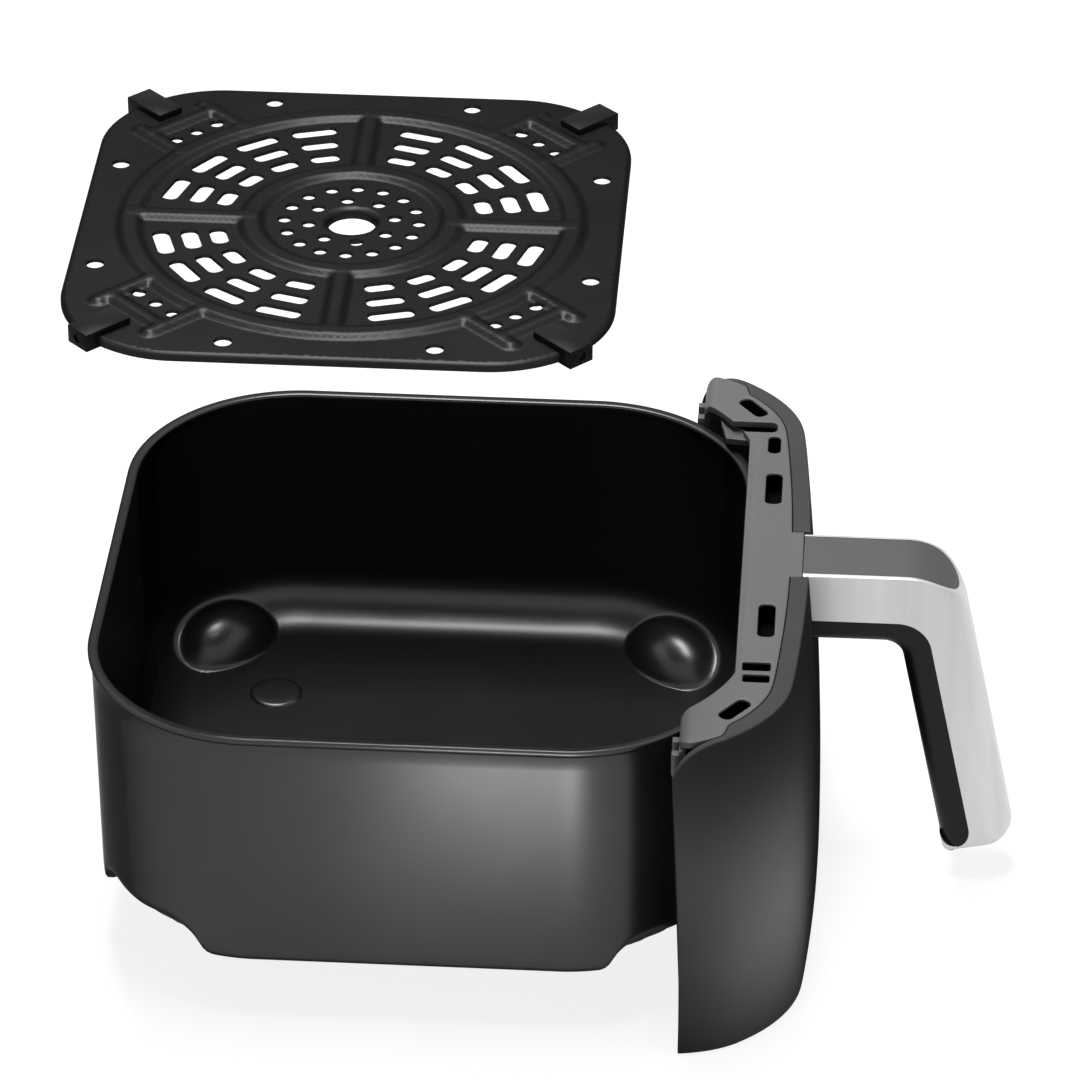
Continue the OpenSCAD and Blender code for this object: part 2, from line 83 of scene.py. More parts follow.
class PanSizes(bpy.types.PropertyGroup):
    width: length("Width", "Across the rim, side to side", 248.4)
    length: length("Length", "Across the rim, front to back", 245.6)
    height: length("Height", "From the underside to the rim's top", 103.5)
    corner: length("Corner radius", "Of the rim, seen from above", 66)
    wall: length("Wall", "Thickness of the sheet", 1.8)
    rim_width: length("Rim width", "Of the bead round the top", 4.2)
    rim_height: length("Rim height", "Of the bead round the top", 2.4)
    rim_out: length("Rim overhang", "Of the bead over the outside wall", 1.2)
    draft: length("Draft", "How far the wall leans in towards its foot", 1.2)
    bend_out: length("Outer bend", "Radius of the foot, outside", 6)
    bend_in: length("Inner bend", "Radius of the foot, inside", 22)
    hollow: length("Hollow radius", "Of the corner hollows, outside", 20)
    hollow_half: length("Hollow half length", "Between the hollow's end centres", 11.5)
    hollow_out: length("Hollow distance", "From the pan's middle, on the diagonal", 130)
    hollow_drop: length("Hollow depth", "Of the hollow's axis below the underside", 3)
    floor_corner: length("Floor corner", "Least corner radius of the floor's rings", 12)
    mound_out: length("Mound half width", "Along the diagonal", 17)
    mound_half: length("Mound half length", "Across the diagonal", 24)
    mound_top: length("Mound top", "Above the underside", 16.8)
    pad_radius: length("Pad radius", "Of the round pad in the floor", 10)
    pad_height: length("Pad height", "Of the round pad in the floor", 0.8)
    pad_x: length("Pad across", "Place of the pad along X", 57.6)
    pad_y: length("Pad along", "Place of the pad along Y", 66.6)


class PlateSizes(bpy.types.PropertyGroup):
    half: length("Half width", "Of the plate", 100)
    corner: length("Corner radius", "Of the plate", 45)
    sheet: length("Sheet", "Thickness of the sheet", 1.5)
    lip: length("Lip", "Depth of the turned-down edge", 2.6)
    ridge: length("Ridge height", "Of the pressed ridges", 2)
    top: length("Ridge top", "Width of a ridge's flat top", 5.6)
    slope: length("Ridge slope", "Width of a ridge's sloping side", 2.4)
    ring_out: length("Outer ring", "Mean radius of the outer ridge", 81.6)
    ring_in: length("Inner ring", "Mean radius of the inner ridge", 37)
    ladder: length("Ladder width", "Between a corner ladder's rails", 30)
    ladder_end: length("Ladder end", "Distance of the rails' ends from the middle", 106)
    rung: length("Rung", "Distance of the ladder's rung from the middle", 100.5)
    centre_hole: length("Centre hole", "Radius of the middle hole", 8.9)
    vent_hole: length("Vent hole", "Radius of the round vents", 2.6)
    edge_hole: length("Edge hole", "Radius of the holes near the edge", 3.4)
    edge_out: length("Edge hole distance", "Square to the edge, from the middle", 90)
    edge_side: length("Edge hole side step", "Along the edge, from the middle", 37.7)
    slot_width: length("Slot width", "Of the vent slots", 6.4)
    slot_length: length("Slot length", "Of the outermost vent slots", 17.2)
    slot_ring: length("Slot ring", "Radius of the outermost slots", 70.1)
    slot_step: length("Slot step", "Between the rings of slots", 10.3)
    lift_y: length("Lifted place", "How far back the lifted plate hangs", 27.5)
    lift_z: length("Lifted height", "Of the lifted plate's top face", 250.6)
    bumper_length: length("Bumper length", "Along the diagonal", 20)
    bumper_width: length("Bumper width", "Across the diagonal", 10.8)
    bumper_up: length("Bumper rise", "Above the plate's top face", 2.8)
    bumper_down: length("Bumper drop", "Below the plate's top face", 4.2)
    bumper_end: length("Bumper end", "Distance of its outer end from the middle", 127)


class FrontSizes(bpy.types.PropertyGroup):
    top: length("Top", "Height of the top face above the pan's underside", 113.2)
    drop: length("Drop", "Of the lower edge below the pan's underside", 24)
    half: length("Half width", "Of the cover", 134)
    face: length("Face", "Distance of the face from the pan's middle", 144.7)
    corner: length("Corner", "Depth of the cover's corners, seen from above", 46)
    corner_power: number("Corner fullness", "2 is round, less is flatter", 1.74)
    bow: length("Bow", "How far the face bows out in the middle", 4.1)
    swell: length("Swell", "How far the face leans out towards its foot", 7.1)
    wall: length("Wall", "Thickness of the cover", 2.4)
    border: length("Border", "Width of the flat border round the top", 6.8)
    wing: length("Wing", "Distance of the wings' rear edges from the middle", 97.5)
    shoulder: length("Shoulder", "Radius of the wings' top rear corners", 18)
    edge: length("Edge", "Rounding of the cover's edges", 0.7)
    gap: length("Seam", "Width of the joint between cover and frame", 0.3)
    frame_edge: length("Frame edge", "Distance of the frame's rear edge from the middle", 119.2)
    frame_wing: length("Frame wing edge", "The same at the ends of the wings", 100.5)
    frame_roll: length("Frame roll", "Radius of the frame's rear edges on the wings", 4)
    frame_sheet: length("Frame sheet", "Thickness of the frame's top", 2.5)
    bevel: length("Bevel", "Width of the slope along the frame's rear edge", 2.7)
    skirt: length("Skirt", "Height of the wings' rear skirts", 16)
    port_depth: length("Port depth", "Of the pockets under the frame's ports", 7)
    panel: length("Panel", "Distance of the frame's upright panel", 124.4)
    panel_sheet: length("Panel sheet", "Thickness of the upright panel", 2)
    panel_half: length("Panel half width", "Of the upright panel", 112)
    flange: length("Flange", "Depth of the panel's foot", 18)


class HandleSizes(bpy.types.PropertyGroup):
    width: length("Width", "Of the handle", 30)
    strip: length("Strip width", "Of the strip let into the top", 26)
    back: length("Root", "Distance of the handle's root from the pan's middle", 142.4)
    bend_y: length("Bend place", "Of the bend's centre", 181)
    bend: length("Bend radius", "Of the outside of the bend", 25.5)
    lean: angle("Lean", "Of the drop from the vertical", 12)
    drop: length("Drop", "Below the centre of the bend", 102.4)
    nose: length("Nose", "Depth of the drop's rounded front", 11)
    end: length("End radius", "Of the drop's end, seen from the side", 5)
    edge: length("Edge", "Rounding of the shell's long edges", 1.1)
    level: length("Level depth", "Of the shell on the level part", 20)
    level_grip: length("Level grip", "Depth of the grip on the level part", 9.7)
    inside: length("Shell line", "Of the shell's back on the drop", 9.5)
    grip: length("Grip", "Thickness of the grip on the drop", 11.4)
    grip_up: length("Grip end", "Height of the grip's end above the shell's", 3)
    grip_tall: length("Grip end length", "Of the grip's rounded end, down the drop", 7.4)
    grip_edge: length("Grip edge", "Rounding of the grip's long edges", 5)


class Finishes(bpy.types.PropertyGroup):
    pan: colour("Pan", "Satin non-stick coating", (0.054, 0.054, 0.0545))
    plate: colour("Plate", "Satin non-stick coating", (0.021, 0.021, 0.0213))
    cover: colour("Cover", "Fine matt moulding", (0.068, 0.068, 0.069))
    frame: colour("Frame", "Matt moulding", (0.074, 0.074, 0.075))
    strip: colour("Strip", "Matt moulding", (0.042, 0.042, 0.043))
    grip: colour("Grip", "Soft matt moulding", (0.012, 0.012, 0.0122))
    # painted shade: the pockets' colour is near black, darker than any moulding, so the ports
    # look like deep dark holes
    pocket: colour("Pocket", "Black moulding", (0.004, 0.004, 0.004))
    silver: colour("Silver", "Satin silver", (0.62, 0.62, 0.63))
    steel: colour("Steel", "Plain zinc plate", (0.45, 0.45, 0.45))
    rubber: colour("Rubber", "Matt black silicone", (0.012, 0.012, 0.0122))
    floor: colour("Floor", "Pale floor", (0.26, 0.26, 0.26))


class StageSettings(bpy.types.PropertyGroup):
    key: number("Key", "Strength of the large lamp over the drawer", 1.0)
    sky: number("Sky", "Strength of the even light all round", 0.12)


GROUPS = {"drawer_pan": PanSizes, "drawer_plate": PlateSizes, "drawer_front": FrontSizes,
          "drawer_handle": HandleSizes, "drawer_finish": Finishes, "drawer_stage": StageSettings}


def sizes(group):
    """A group's values with its lengths in millimetres."""
    owner = getattr(bpy.context.scene, group)
    values = {}
    for name, prop in owner.bl_rna.properties.items():
        if name in ("name", "rna_type"):
            continue
        value = getattr(owner, name)
        values[name] = value / MM if prop.unit == "LENGTH" else value
    return SimpleNamespace(**values)


# ---- node helpers

class Wire:
    """An output socket that takes part in ordinary arithmetic."""

    def __init__(self, tree, socket):
        self.tree, self.socket = tree, socket

    def math(self, operation, *values):
        return put(self.tree, "ShaderNodeMath", {"operation": operation},
                   **{f"i{i}": value for i, value in enumerate(values)})

    def __add__(self, other):
        return self.math("ADD", self, other)

    def __sub__(self, other):
        return self.math("SUBTRACT", self, other)

    def __mul__(self, other):
        return self.math("MULTIPLY", self, other)

    def __radd__(self, other):
        return self.math("ADD", other, self)

    def __rsub__(self, other):
        return self.math("SUBTRACT", other, self)

    def __rmul__(self, other):
        return self.math("MULTIPLY", other, self)

    def clamp(self):
        return put(self.tree, "ShaderNodeClamp", i0=self)


def put(tree, kind, settings=None, out=0, **inputs):
    """Adds a node, sets its settings, feeds its sockets and returns one output.
    An input is named by its socket's name with _ for a space, or by its place as i0, i1 ..."""
    node = tree.nodes.new(kind)
    for name, value in (settings or {}).items():
        setattr(node, name, value)
    for name, value in inputs.items():
        by_place = name[0] == "i" and name[1:].isdigit()
        socket = node.inputs[int(name[1:]) if by_place else name.replace("_", " ")]
        if isinstance(value, Wire):
            tree.links.new(value.socket, socket)
        else:
            socket.default_value = value
    return Wire(tree, node.outputs[out])


def emptied(owner):
    """The node tree of a material or a world, with nothing in it."""
    owner.use_nodes = True
    owner.node_tree.nodes.clear()
    return owner.node_tree


def finish(name, base, rough, grain=700, bump=0.02, metal=0.0, streaks=False, cloud=0.12,
           specular=0.5, edge=1.0):
    """A moulded, coated or plated surface: fine grain in the bump, and slow changes of tone
    and gloss. Streaks stretch the grain along the handle's drop, as on drawn metal. Edge is
    how bright a metallic surface gets where it turns away from the eye."""
    grain_depth, streak_squeeze = 0.4 * MM, 0.06
    broad_scale, broad_detail = (70.0, 2.0) if streaks else (22.0, 4.0)
    material = bpy.data.materials.new(name)
    tree = emptied(material)
    place = put(tree, "ShaderNodeTexCoord", out=3)
    if streaks:
        place = put(tree, "ShaderNodeMapping", Vector=place, Scale=(1, 1, streak_squeeze),
                    Rotation=(-sizes("drawer_handle").lean, 0, 0))
    fine = put(tree, "ShaderNodeTexNoise", Vector=place, Scale=float(grain), Detail=3.0,
               Roughness=0.6)
    broad = put(tree, "ShaderNodeTexNoise", Vector=place, Scale=broad_scale,
                Detail=broad_detail)
    tone = put(tree, "ShaderNodeMix", {"data_type": "RGBA"}, out=2,
               i0=(broad - 0.3) * 1.6 + (fine - 0.5) * 0.25,
               i6=(*[c * (1 - cloud) for c in base], 1), i7=(*[c * (1 + cloud) for c in base], 1))
    gloss = (rough - 0.03) + broad * 0.04 + fine * 0.02
    relief = put(tree, "ShaderNodeBump", Strength=bump, Distance=grain_depth, Height=fine)
    surface = put(tree, "ShaderNodeBsdfPrincipled", Base_Color=tone, Roughness=gloss,
                  Metallic=float(metal), Normal=relief, Specular_IOR_Level=float(specular),
                  Specular_Tint=(edge, edge, edge, 1))
    put_out(tree, "ShaderNodeOutputMaterial", surface)
    return material


def put_out(tree, kind, result):
    """Adds a closing node and feeds its first socket."""
    tree.links.new(result.socket, tree.nodes.new(kind).inputs[0])


MATERIALS = {}


def material(slot):
    """The finish of one of the record's slots, made when it is first asked for."""
    if slot not in MATERIALS:
        c = bpy.context.scene.drawer_finish
        kinds = {
            "coated_pan": (c.pan, 0.29, dict(bump=0.01, cloud=0.06, metal=0.85, edge=0.1,
                                             specular=0.2)),
            "coated_plate": (c.plate, 0.38, dict(bump=0.05, metal=0.85, edge=0.1,
                                                 specular=0.1)),
            "cover_plastic": (c.cover, 0.46, dict(bump=0.05, grain=1100, specular=0.0)),
            "frame_plastic": (c.frame, 0.55, dict(bump=0.04, grain=1100)),
            "strip_plastic": (c.strip, 0.50, dict(bump=0.04, grain=1100)),
            "grip_plastic": (c.grip, 0.36, dict(bump=0.05, grain=1400, specular=0.2)),
            # painted shade for the pockets under the ports, near black so the ports read as deep
            # shaded holes
            "pocket_plastic": (c.pocket, 0.7, dict(bump=0.02, specular=0.0)),
            "satin_silver": (c.silver, 0.34, dict(metal=0.9, bump=0.02, cloud=0.14,
                                                  streaks=True)),
            "bracket_steel": (c.steel, 0.40, dict(metal=1.0)),
            "screw_steel": (c.steel, 0.35, dict(metal=1.0)),
            "bumper_rubber": (c.rubber, 0.40, dict(bump=0.05, metal=0.5, edge=0.1, specular=0.1)),
        }
        base, rough, more = kinds[slot]
        MATERIALS[slot] = finish(slot, tuple(base), rough, **more)
    return MATERIALS[slot]


# ---- mesh helpers

def linked(name, data):
    """A new object that shows the data in the scene."""
    thing = bpy.data.objects.new(name, data)
    bpy.context.scene.collection.objects.link(thing)
    return thing


class Shape:
    """Points in millimetres and faces, gathered until a piece is made from them."""

    def __init__(self):
        self.points, self.faces = [], []

    def add(self, points):
        first = len(self.points)
        self.points.extend(tuple(map(float, p)) for p in points)
        return list(range(first, len(self.points)))

    def band(self, a, b):
        """Joins two rows of points by faces, all the way round."""
        for i in range(len(a)):
            j = (i + 1) % len(a)
            self.faces.append((a[i], a[j], b[j], b[i]))

    def loft(self, rings, first="face", last="face"):
        """Joins rings of equal count. The ends close by a face or to a centre, or stay open
        with None."""
        rows = [self.add(ring) for ring in rings]
        for a, b in zip(rows, rows[1:]):
            self.band(a, b)
        for row, end in ((rows[0], first), (rows[-1], last)):
            if end == "face":
                self.faces.append(tuple(row))
            elif end is not None:
                hub = self.add([end])[0]
                self.faces.extend((row[i], row[(i + 1) % len(row)], hub)
                                  for i in range(len(row)))

    def make(self, name, outward=True):
        mesh = bpy.data.meshes.new(name)
        mesh.from_pydata([(x * MM, y * MM, z * MM) for x, y, z in self.points], [], self.faces)
        piece = linked(name, mesh)
        work = bmesh.new()
        work.from_mesh(mesh)
        bmesh.ops.remove_doubles(work, verts=work.verts, dist=WELD)
        if outward:
            bmesh.ops.recalc_face_normals(work, faces=work.faces)
        work.to_mesh(mesh)
        work.free()
        shade(piece)
        return piece


def solid(name, rings):
    """A piece lofted through rings of points, with a face at each end."""
    shape = Shape()
    shape.loft(rings)
    return shape.make(name)


def prism(name, outline, x0, x1):
    """A block between two X positions. The outline is in Y and Z."""
    return solid(name, [[(x, y, z) for y, z in outline] for x in (x0, x1)])


def shade(piece, degrees=35):
    mesh = piece.data
    mesh.polygons.foreach_set("use_smooth", [True] * len(mesh.polygons))
    mesh.set_sharp_from_angle(angle=radians(degrees))
    mesh.update()


def applied(piece, *modifiers):
    """Adds modifiers, each (type, settings), and bakes them into the mesh."""
    for kind, settings in modifiers:
        modifier = piece.modifiers.new(kind.title(), kind)
        for name, value in settings.items():
            setattr(modifier, name, value)
    bpy.context.view_layer.update()
    evaluated = piece.evaluated_get(bpy.context.evaluated_depsgraph_get())
    mesh = bpy.data.meshes.new_from_object(evaluated)
    piece.modifiers.clear()
    old, piece.data = piece.data, mesh
    bpy.data.meshes.remove(old)
    mesh.name = piece.name
    return piece


def carve(piece, *cutters):
    """Cuts each cutter out of a piece and removes the cutters."""
    applied(piece, *[("BOOLEAN", {"operation": "DIFFERENCE", "object": c, "solver": "EXACT"})
                     for c in cutters])
    for cutter in cutters:
        bpy.data.objects.remove(cutter)


def round_edges(piece, width):
    applied(piece, ("BEVEL", {"width": width * MM, "segments": 2, "limit_method": "ANGLE",
                              "angle_limit": radians(40)}))


def join(name, pieces):
    """Joins the meshes of several objects into the first."""
    work = bmesh.new()
    for piece in pieces:
        work.from_mesh(piece.data)
    work.to_mesh(pieces[0].data)
    work.free()
    for piece in pieces[1:]:
        bpy.data.objects.remove(piece)
    pieces[0].name = pieces[0].data.name = name
    return pieces[0]


def dress(piece, body, slot, *nodes, smooth=35, paint=None):
    """Gives a finished piece its material, its body and the CAD nodes it stands for."""
    piece.data.materials.clear()
    piece.data.materials.append(material(paint or slot))
    shade(piece, smooth)
    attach(piece, body)
    if nodes:
        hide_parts(*nodes)


def arc(centre, radius, start, end, steps):
    """Points of an arc in a plane, angles in degrees."""
    return [(centre[0] + radius * cos(radians(start + (end - start) * i / steps)),
             centre[1] + radius * sin(radians(start + (end - start) * i / steps)))
            for i in range(steps + 1)]


def between(start, stop, steps):
    """Points that part a line into steps, without its ends."""
    return [(start[0] + (stop[0] - start[0]) * i / steps,
             start[1] + (stop[1] - start[1]) * i / steps) for i in range(1, steps)]


def rounded(half_x, half_y, radius, side_steps, arc_steps, at=(0, 0), turn=0.0):
    """Points round a rounded rectangle, anticlockwise."""
    arcs = [arc((sx * (half_x - radius), sy * (half_y - radius)), radius, 90 * k,
                90 * k + 90, arc_steps)
            for k, (sx, sy) in enumerate(((1, 1), (-1, 1), (-1, -1), (1, -1)))]
    points = []
    for k, part in enumerate(arcs):
        points += part + between(part[-1], arcs[(k + 1) % 4][0], side_steps)
    t = radians(turn)
    return [(at[0] + x * cos(t) - y * sin(t), at[1] + x * sin(t) + y * cos(t))
            for x, y in points]


def circle(x, y, radius, steps=20):
    return arc((x, y), radius, 0, 360 - 360 / steps, steps - 1)


def offset(loop, distance):
    """A closed anticlockwise loop drawn in by a distance, mitred at its corners."""
    p = np.array(loop, float)
    before, after = p - np.roll(p, 1, 0), np.roll(p, -1, 0) - p
    n1 = np.stack([-before[:, 1], before[:, 0]], 1)
    n2 = np.stack([-after[:, 1], after[:, 0]], 1)
    n1 /= np.maximum(np.linalg.norm(n1, axis=1), 1e-9)[:, None]
    n2 /= np.maximum(np.linalg.norm(n2, axis=1), 1e-9)[:, None]
    n = n1 + n2
    n /= np.maximum((n * n).sum(1) / 2, 0.3)[:, None]
    return p + n * distance


def inside(points, loop):
    """Which of the points lie inside a closed loop."""
    points, loop = np.asarray(points, float), np.asarray(loop, float)
    low, high = loop.min(0), loop.max(0)
    near = np.nonzero(((points >= low) & (points <= high)).all(1))[0]
    result = np.zeros(len(points), bool)
    if not len(near):
        return result
    x, y = points[near, 0][:, None], points[near, 1][:, None]
    x0, y0 = loop[:, 0][None], loop[:, 1][None]
    x1, y1 = np.roll(loop[:, 0], -1)[None], np.roll(loop[:, 1], -1)[None]
    span = np.where(y1 == y0, 1e-12, y1 - y0)
    cross = ((y0 > y) != (y1 > y)) & (x < x0 + (y - y0) * (x1 - x0) / span)
    result[near] = cross.sum(1) % 2 == 1
    return result


def clear(points, loops):
    """Which of the points lie inside the first loop and outside the rest."""
    keep = inside(points, loops[0])
    for loop in loops[1:]:
        keep &= ~inside(points, loop)
    return keep


def fill(loops, step):
    """Triangles inside the first loop and outside the rest, over a grid of points that lie
    step apart. Returns the points, the loops' own first and in order, and the triangles."""
    loops = [np.asarray(loop, float) for loop in loops]
    ring = np.concatenate(loops)
    low, high = loops[0].min(0), loops[0].max(0)
    xs, ys = (np.arange(low[k] + step / 2, high[k], step) for k in (0, 1))
    grid = np.stack(np.meshgrid(xs, ys), -1)
    grid[1::2, :, 0] += step / 2
    grid = grid.reshape(-1, 2)
    grid = grid[clear(grid, loops)]
    tree = KDTree(len(ring))
    for i, p in enumerate(ring):
        tree.insert((p[0], p[1], 0), i)
    tree.balance()
    apart = [p for p in grid if tree.find((p[0], p[1], 0))[2] > 0.55 * step]
    points = np.concatenate([ring, np.reshape(apart, (-1, 2))])
    edges, first = [], 0
    for loop in loops:
        n = len(loop)
        edges += [(first + i, first + (i + 1) % n) for i in range(n)]
        first += n
    out = delaunay_2d_cdt([Vector(p) for p in points], edges, [], 0, 1e-7)
    flat, triangles, sources = np.array([tuple(v) for v in out[0]]), out[2], out[3]
    where = {}
    for i, source in enumerate(sources):
        for s in source:
            where[i] = s
    middle = np.array([flat[list(t)].mean(0) for t in triangles])
    return points, [tuple(where[i] for i in t)
                    for t, kept in zip(triangles, clear(middle, loops)) if kept]


def slab(shape, loops, step, top, bottom, edge=0.4, edge_steps=3):
    """A plate between two heights, each a number or a function of x and y, with holes and
    with its upper edges rounded. The loops run anticlockwise, the holes' too."""
    def level_at(height, flat):
        if callable(height):
            return height(flat[:, 0], flat[:, 1])
        return np.full(len(flat), float(height))

    inner = [offset(loop, edge if i == 0 else -edge) for i, loop in enumerate(loops)]
    flat, triangles = fill(inner, step)
    upper = shape.add(np.column_stack([flat, level_at(top, flat)]))
    shape.faces += [tuple(upper[i] for i in t) for t in triangles]
    flat, triangles = fill(loops, max(step, 6))
    lower = shape.add(np.column_stack([flat, level_at(bottom, flat)]))
    shape.faces += [tuple(lower[i] for i in t)[::-1] for t in triangles]
    first = 0
    for i, loop in enumerate(loops):
        n = len(loop)
        above = upper[first:first + n]
        for k in range(1, edge_steps + 1):
            a = pi / 2 * k / edge_steps
            ring = offset(loop, (edge if i == 0 else -edge) * (1 - sin(a)))
            level = level_at(top, ring) - edge * (1 - cos(a))
            row = shape.add(np.column_stack([ring, level]))
            shape.band(above, row)
            above = row
        shape.band(above, lower[first:first + n])
        first += n


def smooth_max(a, b, k):
    h = np.maximum(k - np.abs(a - b), 0) / k
    return np.maximum(a, b) + h * h * k / 4


def step_between(value, start, end):
    t = np.clip((value - start) / (end - start), 0, 1)
    return t * t * (3 - 2 * t)


def grown(name, inputs, build):
    """A mesh made by a tree of geometry nodes, whose named inputs take the given values."""
    kinds = ((bpy.types.Object, "NodeSocketObject"), (bpy.types.Material, "NodeSocketMaterial"),
             (int, "NodeSocketInt"), (float, "NodeSocketFloat"))
    tree = bpy.data.node_groups.new(name, "GeometryNodeTree")
    tree.interface.new_socket("Geometry", in_out="OUTPUT", socket_type="NodeSocketGeometry")
    named = {}
    for label, value in inputs.items():
        kind = next(k for t, k in kinds if isinstance(value, t))
        named[label] = tree.interface.new_socket(label, in_out="INPUT", socket_type=kind)
    source = tree.nodes.new("NodeGroupInput")
    given = {label: Wire(tree, source.outputs[label]) for label in inputs}
    result = build(tree, given)
    put_out(tree, "NodeGroupOutput", result)
    piece = linked(name, bpy.data.meshes.new(name))
    modifier = piece.modifiers.new("Nodes", "NODES")
    modifier.node_group = tree
    for label, socket in named.items():
        modifier[socket.identifier] = inputs[label]
    return applied(piece)


# ---- pan

def corner_domes(s, x, y, rise, brim, steep, away_at):
    """Height of a dome at each corner. away_at is 0 at its middle and 1 at its foot, from
    distances along and across the corner's diagonal; past the brim it falls steeply on."""
    height = np.full(len(x), -50.0)
    for sx, sy in QUARTERS:
        away = away_at((x * sx + y * sy) / sqrt(2) - s.hollow_out, (y * sy - x * sx) / sqrt(2))
        dome = np.sqrt(np.maximum(1 - np.minimum(away, brim) ** 2, 0))
        fall = np.maximum(away - brim, 0) * steep
        height = np.maximum(height, rise * (dome - fall) - s.hollow_drop)
    return height


def mound_height(s, x, y, less):
    """Height of the oval mounds at x and y, their surface drawn in by less."""
    return corner_domes(s, x, y, s.mound_top + s.hollow_drop - less, 0.985, 5.7,
                        lambda out, side: np.hypot(out / (s.mound_out - less),
                                                   side / (s.mound_half - less)))


def hollow_height(s, x, y):
    """Height of the hollows pressed up into the pan's underside."""
    return corner_domes(s, x, y, s.hollow, 0.97, 4, lambda out, side: np.hypot(
        out, np.maximum(np.abs(side) - s.hollow_half, 0)) / s.hollow)


def underside_rise(s, x, y, inset):
    """How far the corners raise the pan's outside at x and y, inset from the rim."""
    bend = s.bend_in + s.wall
    into = min(max(bend - (inset - s.rim_out - s.draft), 0), bend)
    sheet = bend - sqrt(bend ** 2 - into ** 2)
    hollow = np.minimum(hollow_height(s, x, y), sheet)
    rise = np.maximum(hollow, mound_height(s, x, y, s.wall))
    return smooth_max(rise, 0 * x, 4)


def pan_rows(s):
    """The pan's section from the middle of its underside to the middle of its floor:
    (inset from the rim, height, whether it is on the inside)."""
    foot_out, foot_in = s.rim_out + s.draft, s.rim_out + s.draft + s.wall
    neck, low = s.height - s.rim_height, s.bend_out
    rows = [(d, 0) for d in (112, 90, 72, 60, 54, 50, 46, 43, 40, 38, 36, 34, 32,
                             *np.arange(30, 11, -1.5), 10.8, 9.6)]
    rows += [(foot_out + low * (1 - sin(radians(a))), low * (1 - cos(radians(a))))
             for a in range(0, 91, 13)]
    rows += [(foot_out - s.draft * (z - low) / (neck - low), z)
             for z in (8, 10, 12, 14, 16, 18, 21, 25, 32, 42, 55, 70, 84, 94)]
    rows += [(1.2, neck - 1.2), (1.0, neck - 0.5), (0.5, neck - 0.12), (0.14, neck + 0.25),
             (0, neck + 0.8), (0, neck + 1.5), (0.15, neck + 1.95), (0.5, neck + 2.28),
             (1.0, s.height), (2.0, s.height), (3.0, s.height), (3.6, neck + 2.3),
             (4.02, neck + 1.95), (s.rim_width, neck + 1.4), (s.rim_width, neck + 0.5),
             (4.0, neck - 0.3), (3.6, neck - 1.1), (3.25, neck - 2.2)]
    inner = [(foot_in - s.draft * (z - low) / (neck - low), z)
             for z in (96, 84, 70, 56, 45, 37, 31, 27)]
    bend = s.bend_in
    inner += [(foot_in + bend * (1 - cos(radians(a))), s.wall + bend * (1 - sin(radians(a))))
              for a in np.arange(0, 90.1, 4.5)]
    inner += [(d, s.wall) for d in (*np.arange(27, 50.5, 0.6), 52, 58, 66, 78, 94, 112)]
    return [(d, z, False) for d, z in rows] + [(d, z, True) for d, z in inner]


def make_pan():
    s = sizes("drawer_pan")
    shape, rings = Shape(), []
    shaped_below, mound_fillet = 60, 7
    for inset, z, within in pan_rows(s):
        bend = max(s.corner - inset, min(s.floor_corner, s.length / 2 - inset - 0.5))
        ring = np.array(rounded(s.width / 2 - inset, s.length / 2 - inset, bend, 26, 66))
        x, y = ring[:, 0], ring[:, 1]
        if within:
            fillet = mound_fillet if z < shaped_below else 0.1
            level = smooth_max(mound_height(s, x, y, 0), 0 * x + z, fillet)
        else:
            level = z + underside_rise(s, x, y, inset) * max(0, 1 - z / shaped_below)
        rings.append(np.column_stack([ring, level]))
    shape.loft(rings, first=(0, 0, 0), last=(0, 0, s.wall))
    pad = [(s.pad_radius + d, s.wall + h) for d, h in
           ((0.9, -0.4), (0.45, 0.1), (0.1, 0.42), (-0.5, s.pad_height - 0.12),
            (-1.3, s.pad_height), (-5, s.pad_height))]
    shape.loft([[(s.pad_x + x, s.pad_y + y, z) for x, y in circle(0, 0, r, 48)]
                for r, z in pad], last=(s.pad_x, s.pad_y, s.wall + s.pad_height))
    dress(shape.make("pan"), "drawer", "coated_pan", "pan", smooth=50)


# ---- crisper plate

def plate_relief(s, x, y):
    """Height of the pressed ridges at x and y on the plate."""
    def ridge(away, top=s.top, slope=s.slope):
        return 1 - step_between(away, top / 2, top / 2 + slope)

    def bar(u, v, u0, u1, v0, **more):
        return ridge(np.hypot(np.maximum(np.maximum(u0 - u, u - u1), 0), v - v0), **more)

    blend, r = 0.25, np.hypot(x, y)
    height = np.maximum(ridge(abs(r - s.ring_in)), ridge(abs(r - s.ring_out)))
    for u, v in ((x, y), (-x, y), (y, x), (-y, x)):
        height = smooth_max(height, bar(u, v, s.ring_in, s.ring_out, 0, top=s.top - 1), blend)
    slim = dict(top=s.top * 0.6, slope=s.slope * 0.9)
    for sx, sy in QUARTERS:
        u, v = (x * sx + y * sy) / sqrt(2), (y * sx - x * sy) / sqrt(2)
        for side in (-1, 1):
            rail = bar(u, v, s.ring_out, s.ladder_end, side * s.ladder / 2, **slim)
            height = smooth_max(height, rail, blend)
        rung = bar(v, u, -s.ladder / 2, s.ladder / 2, s.rung, **slim)
        height = smooth_max(height, rung, blend)
    return s.ridge * height


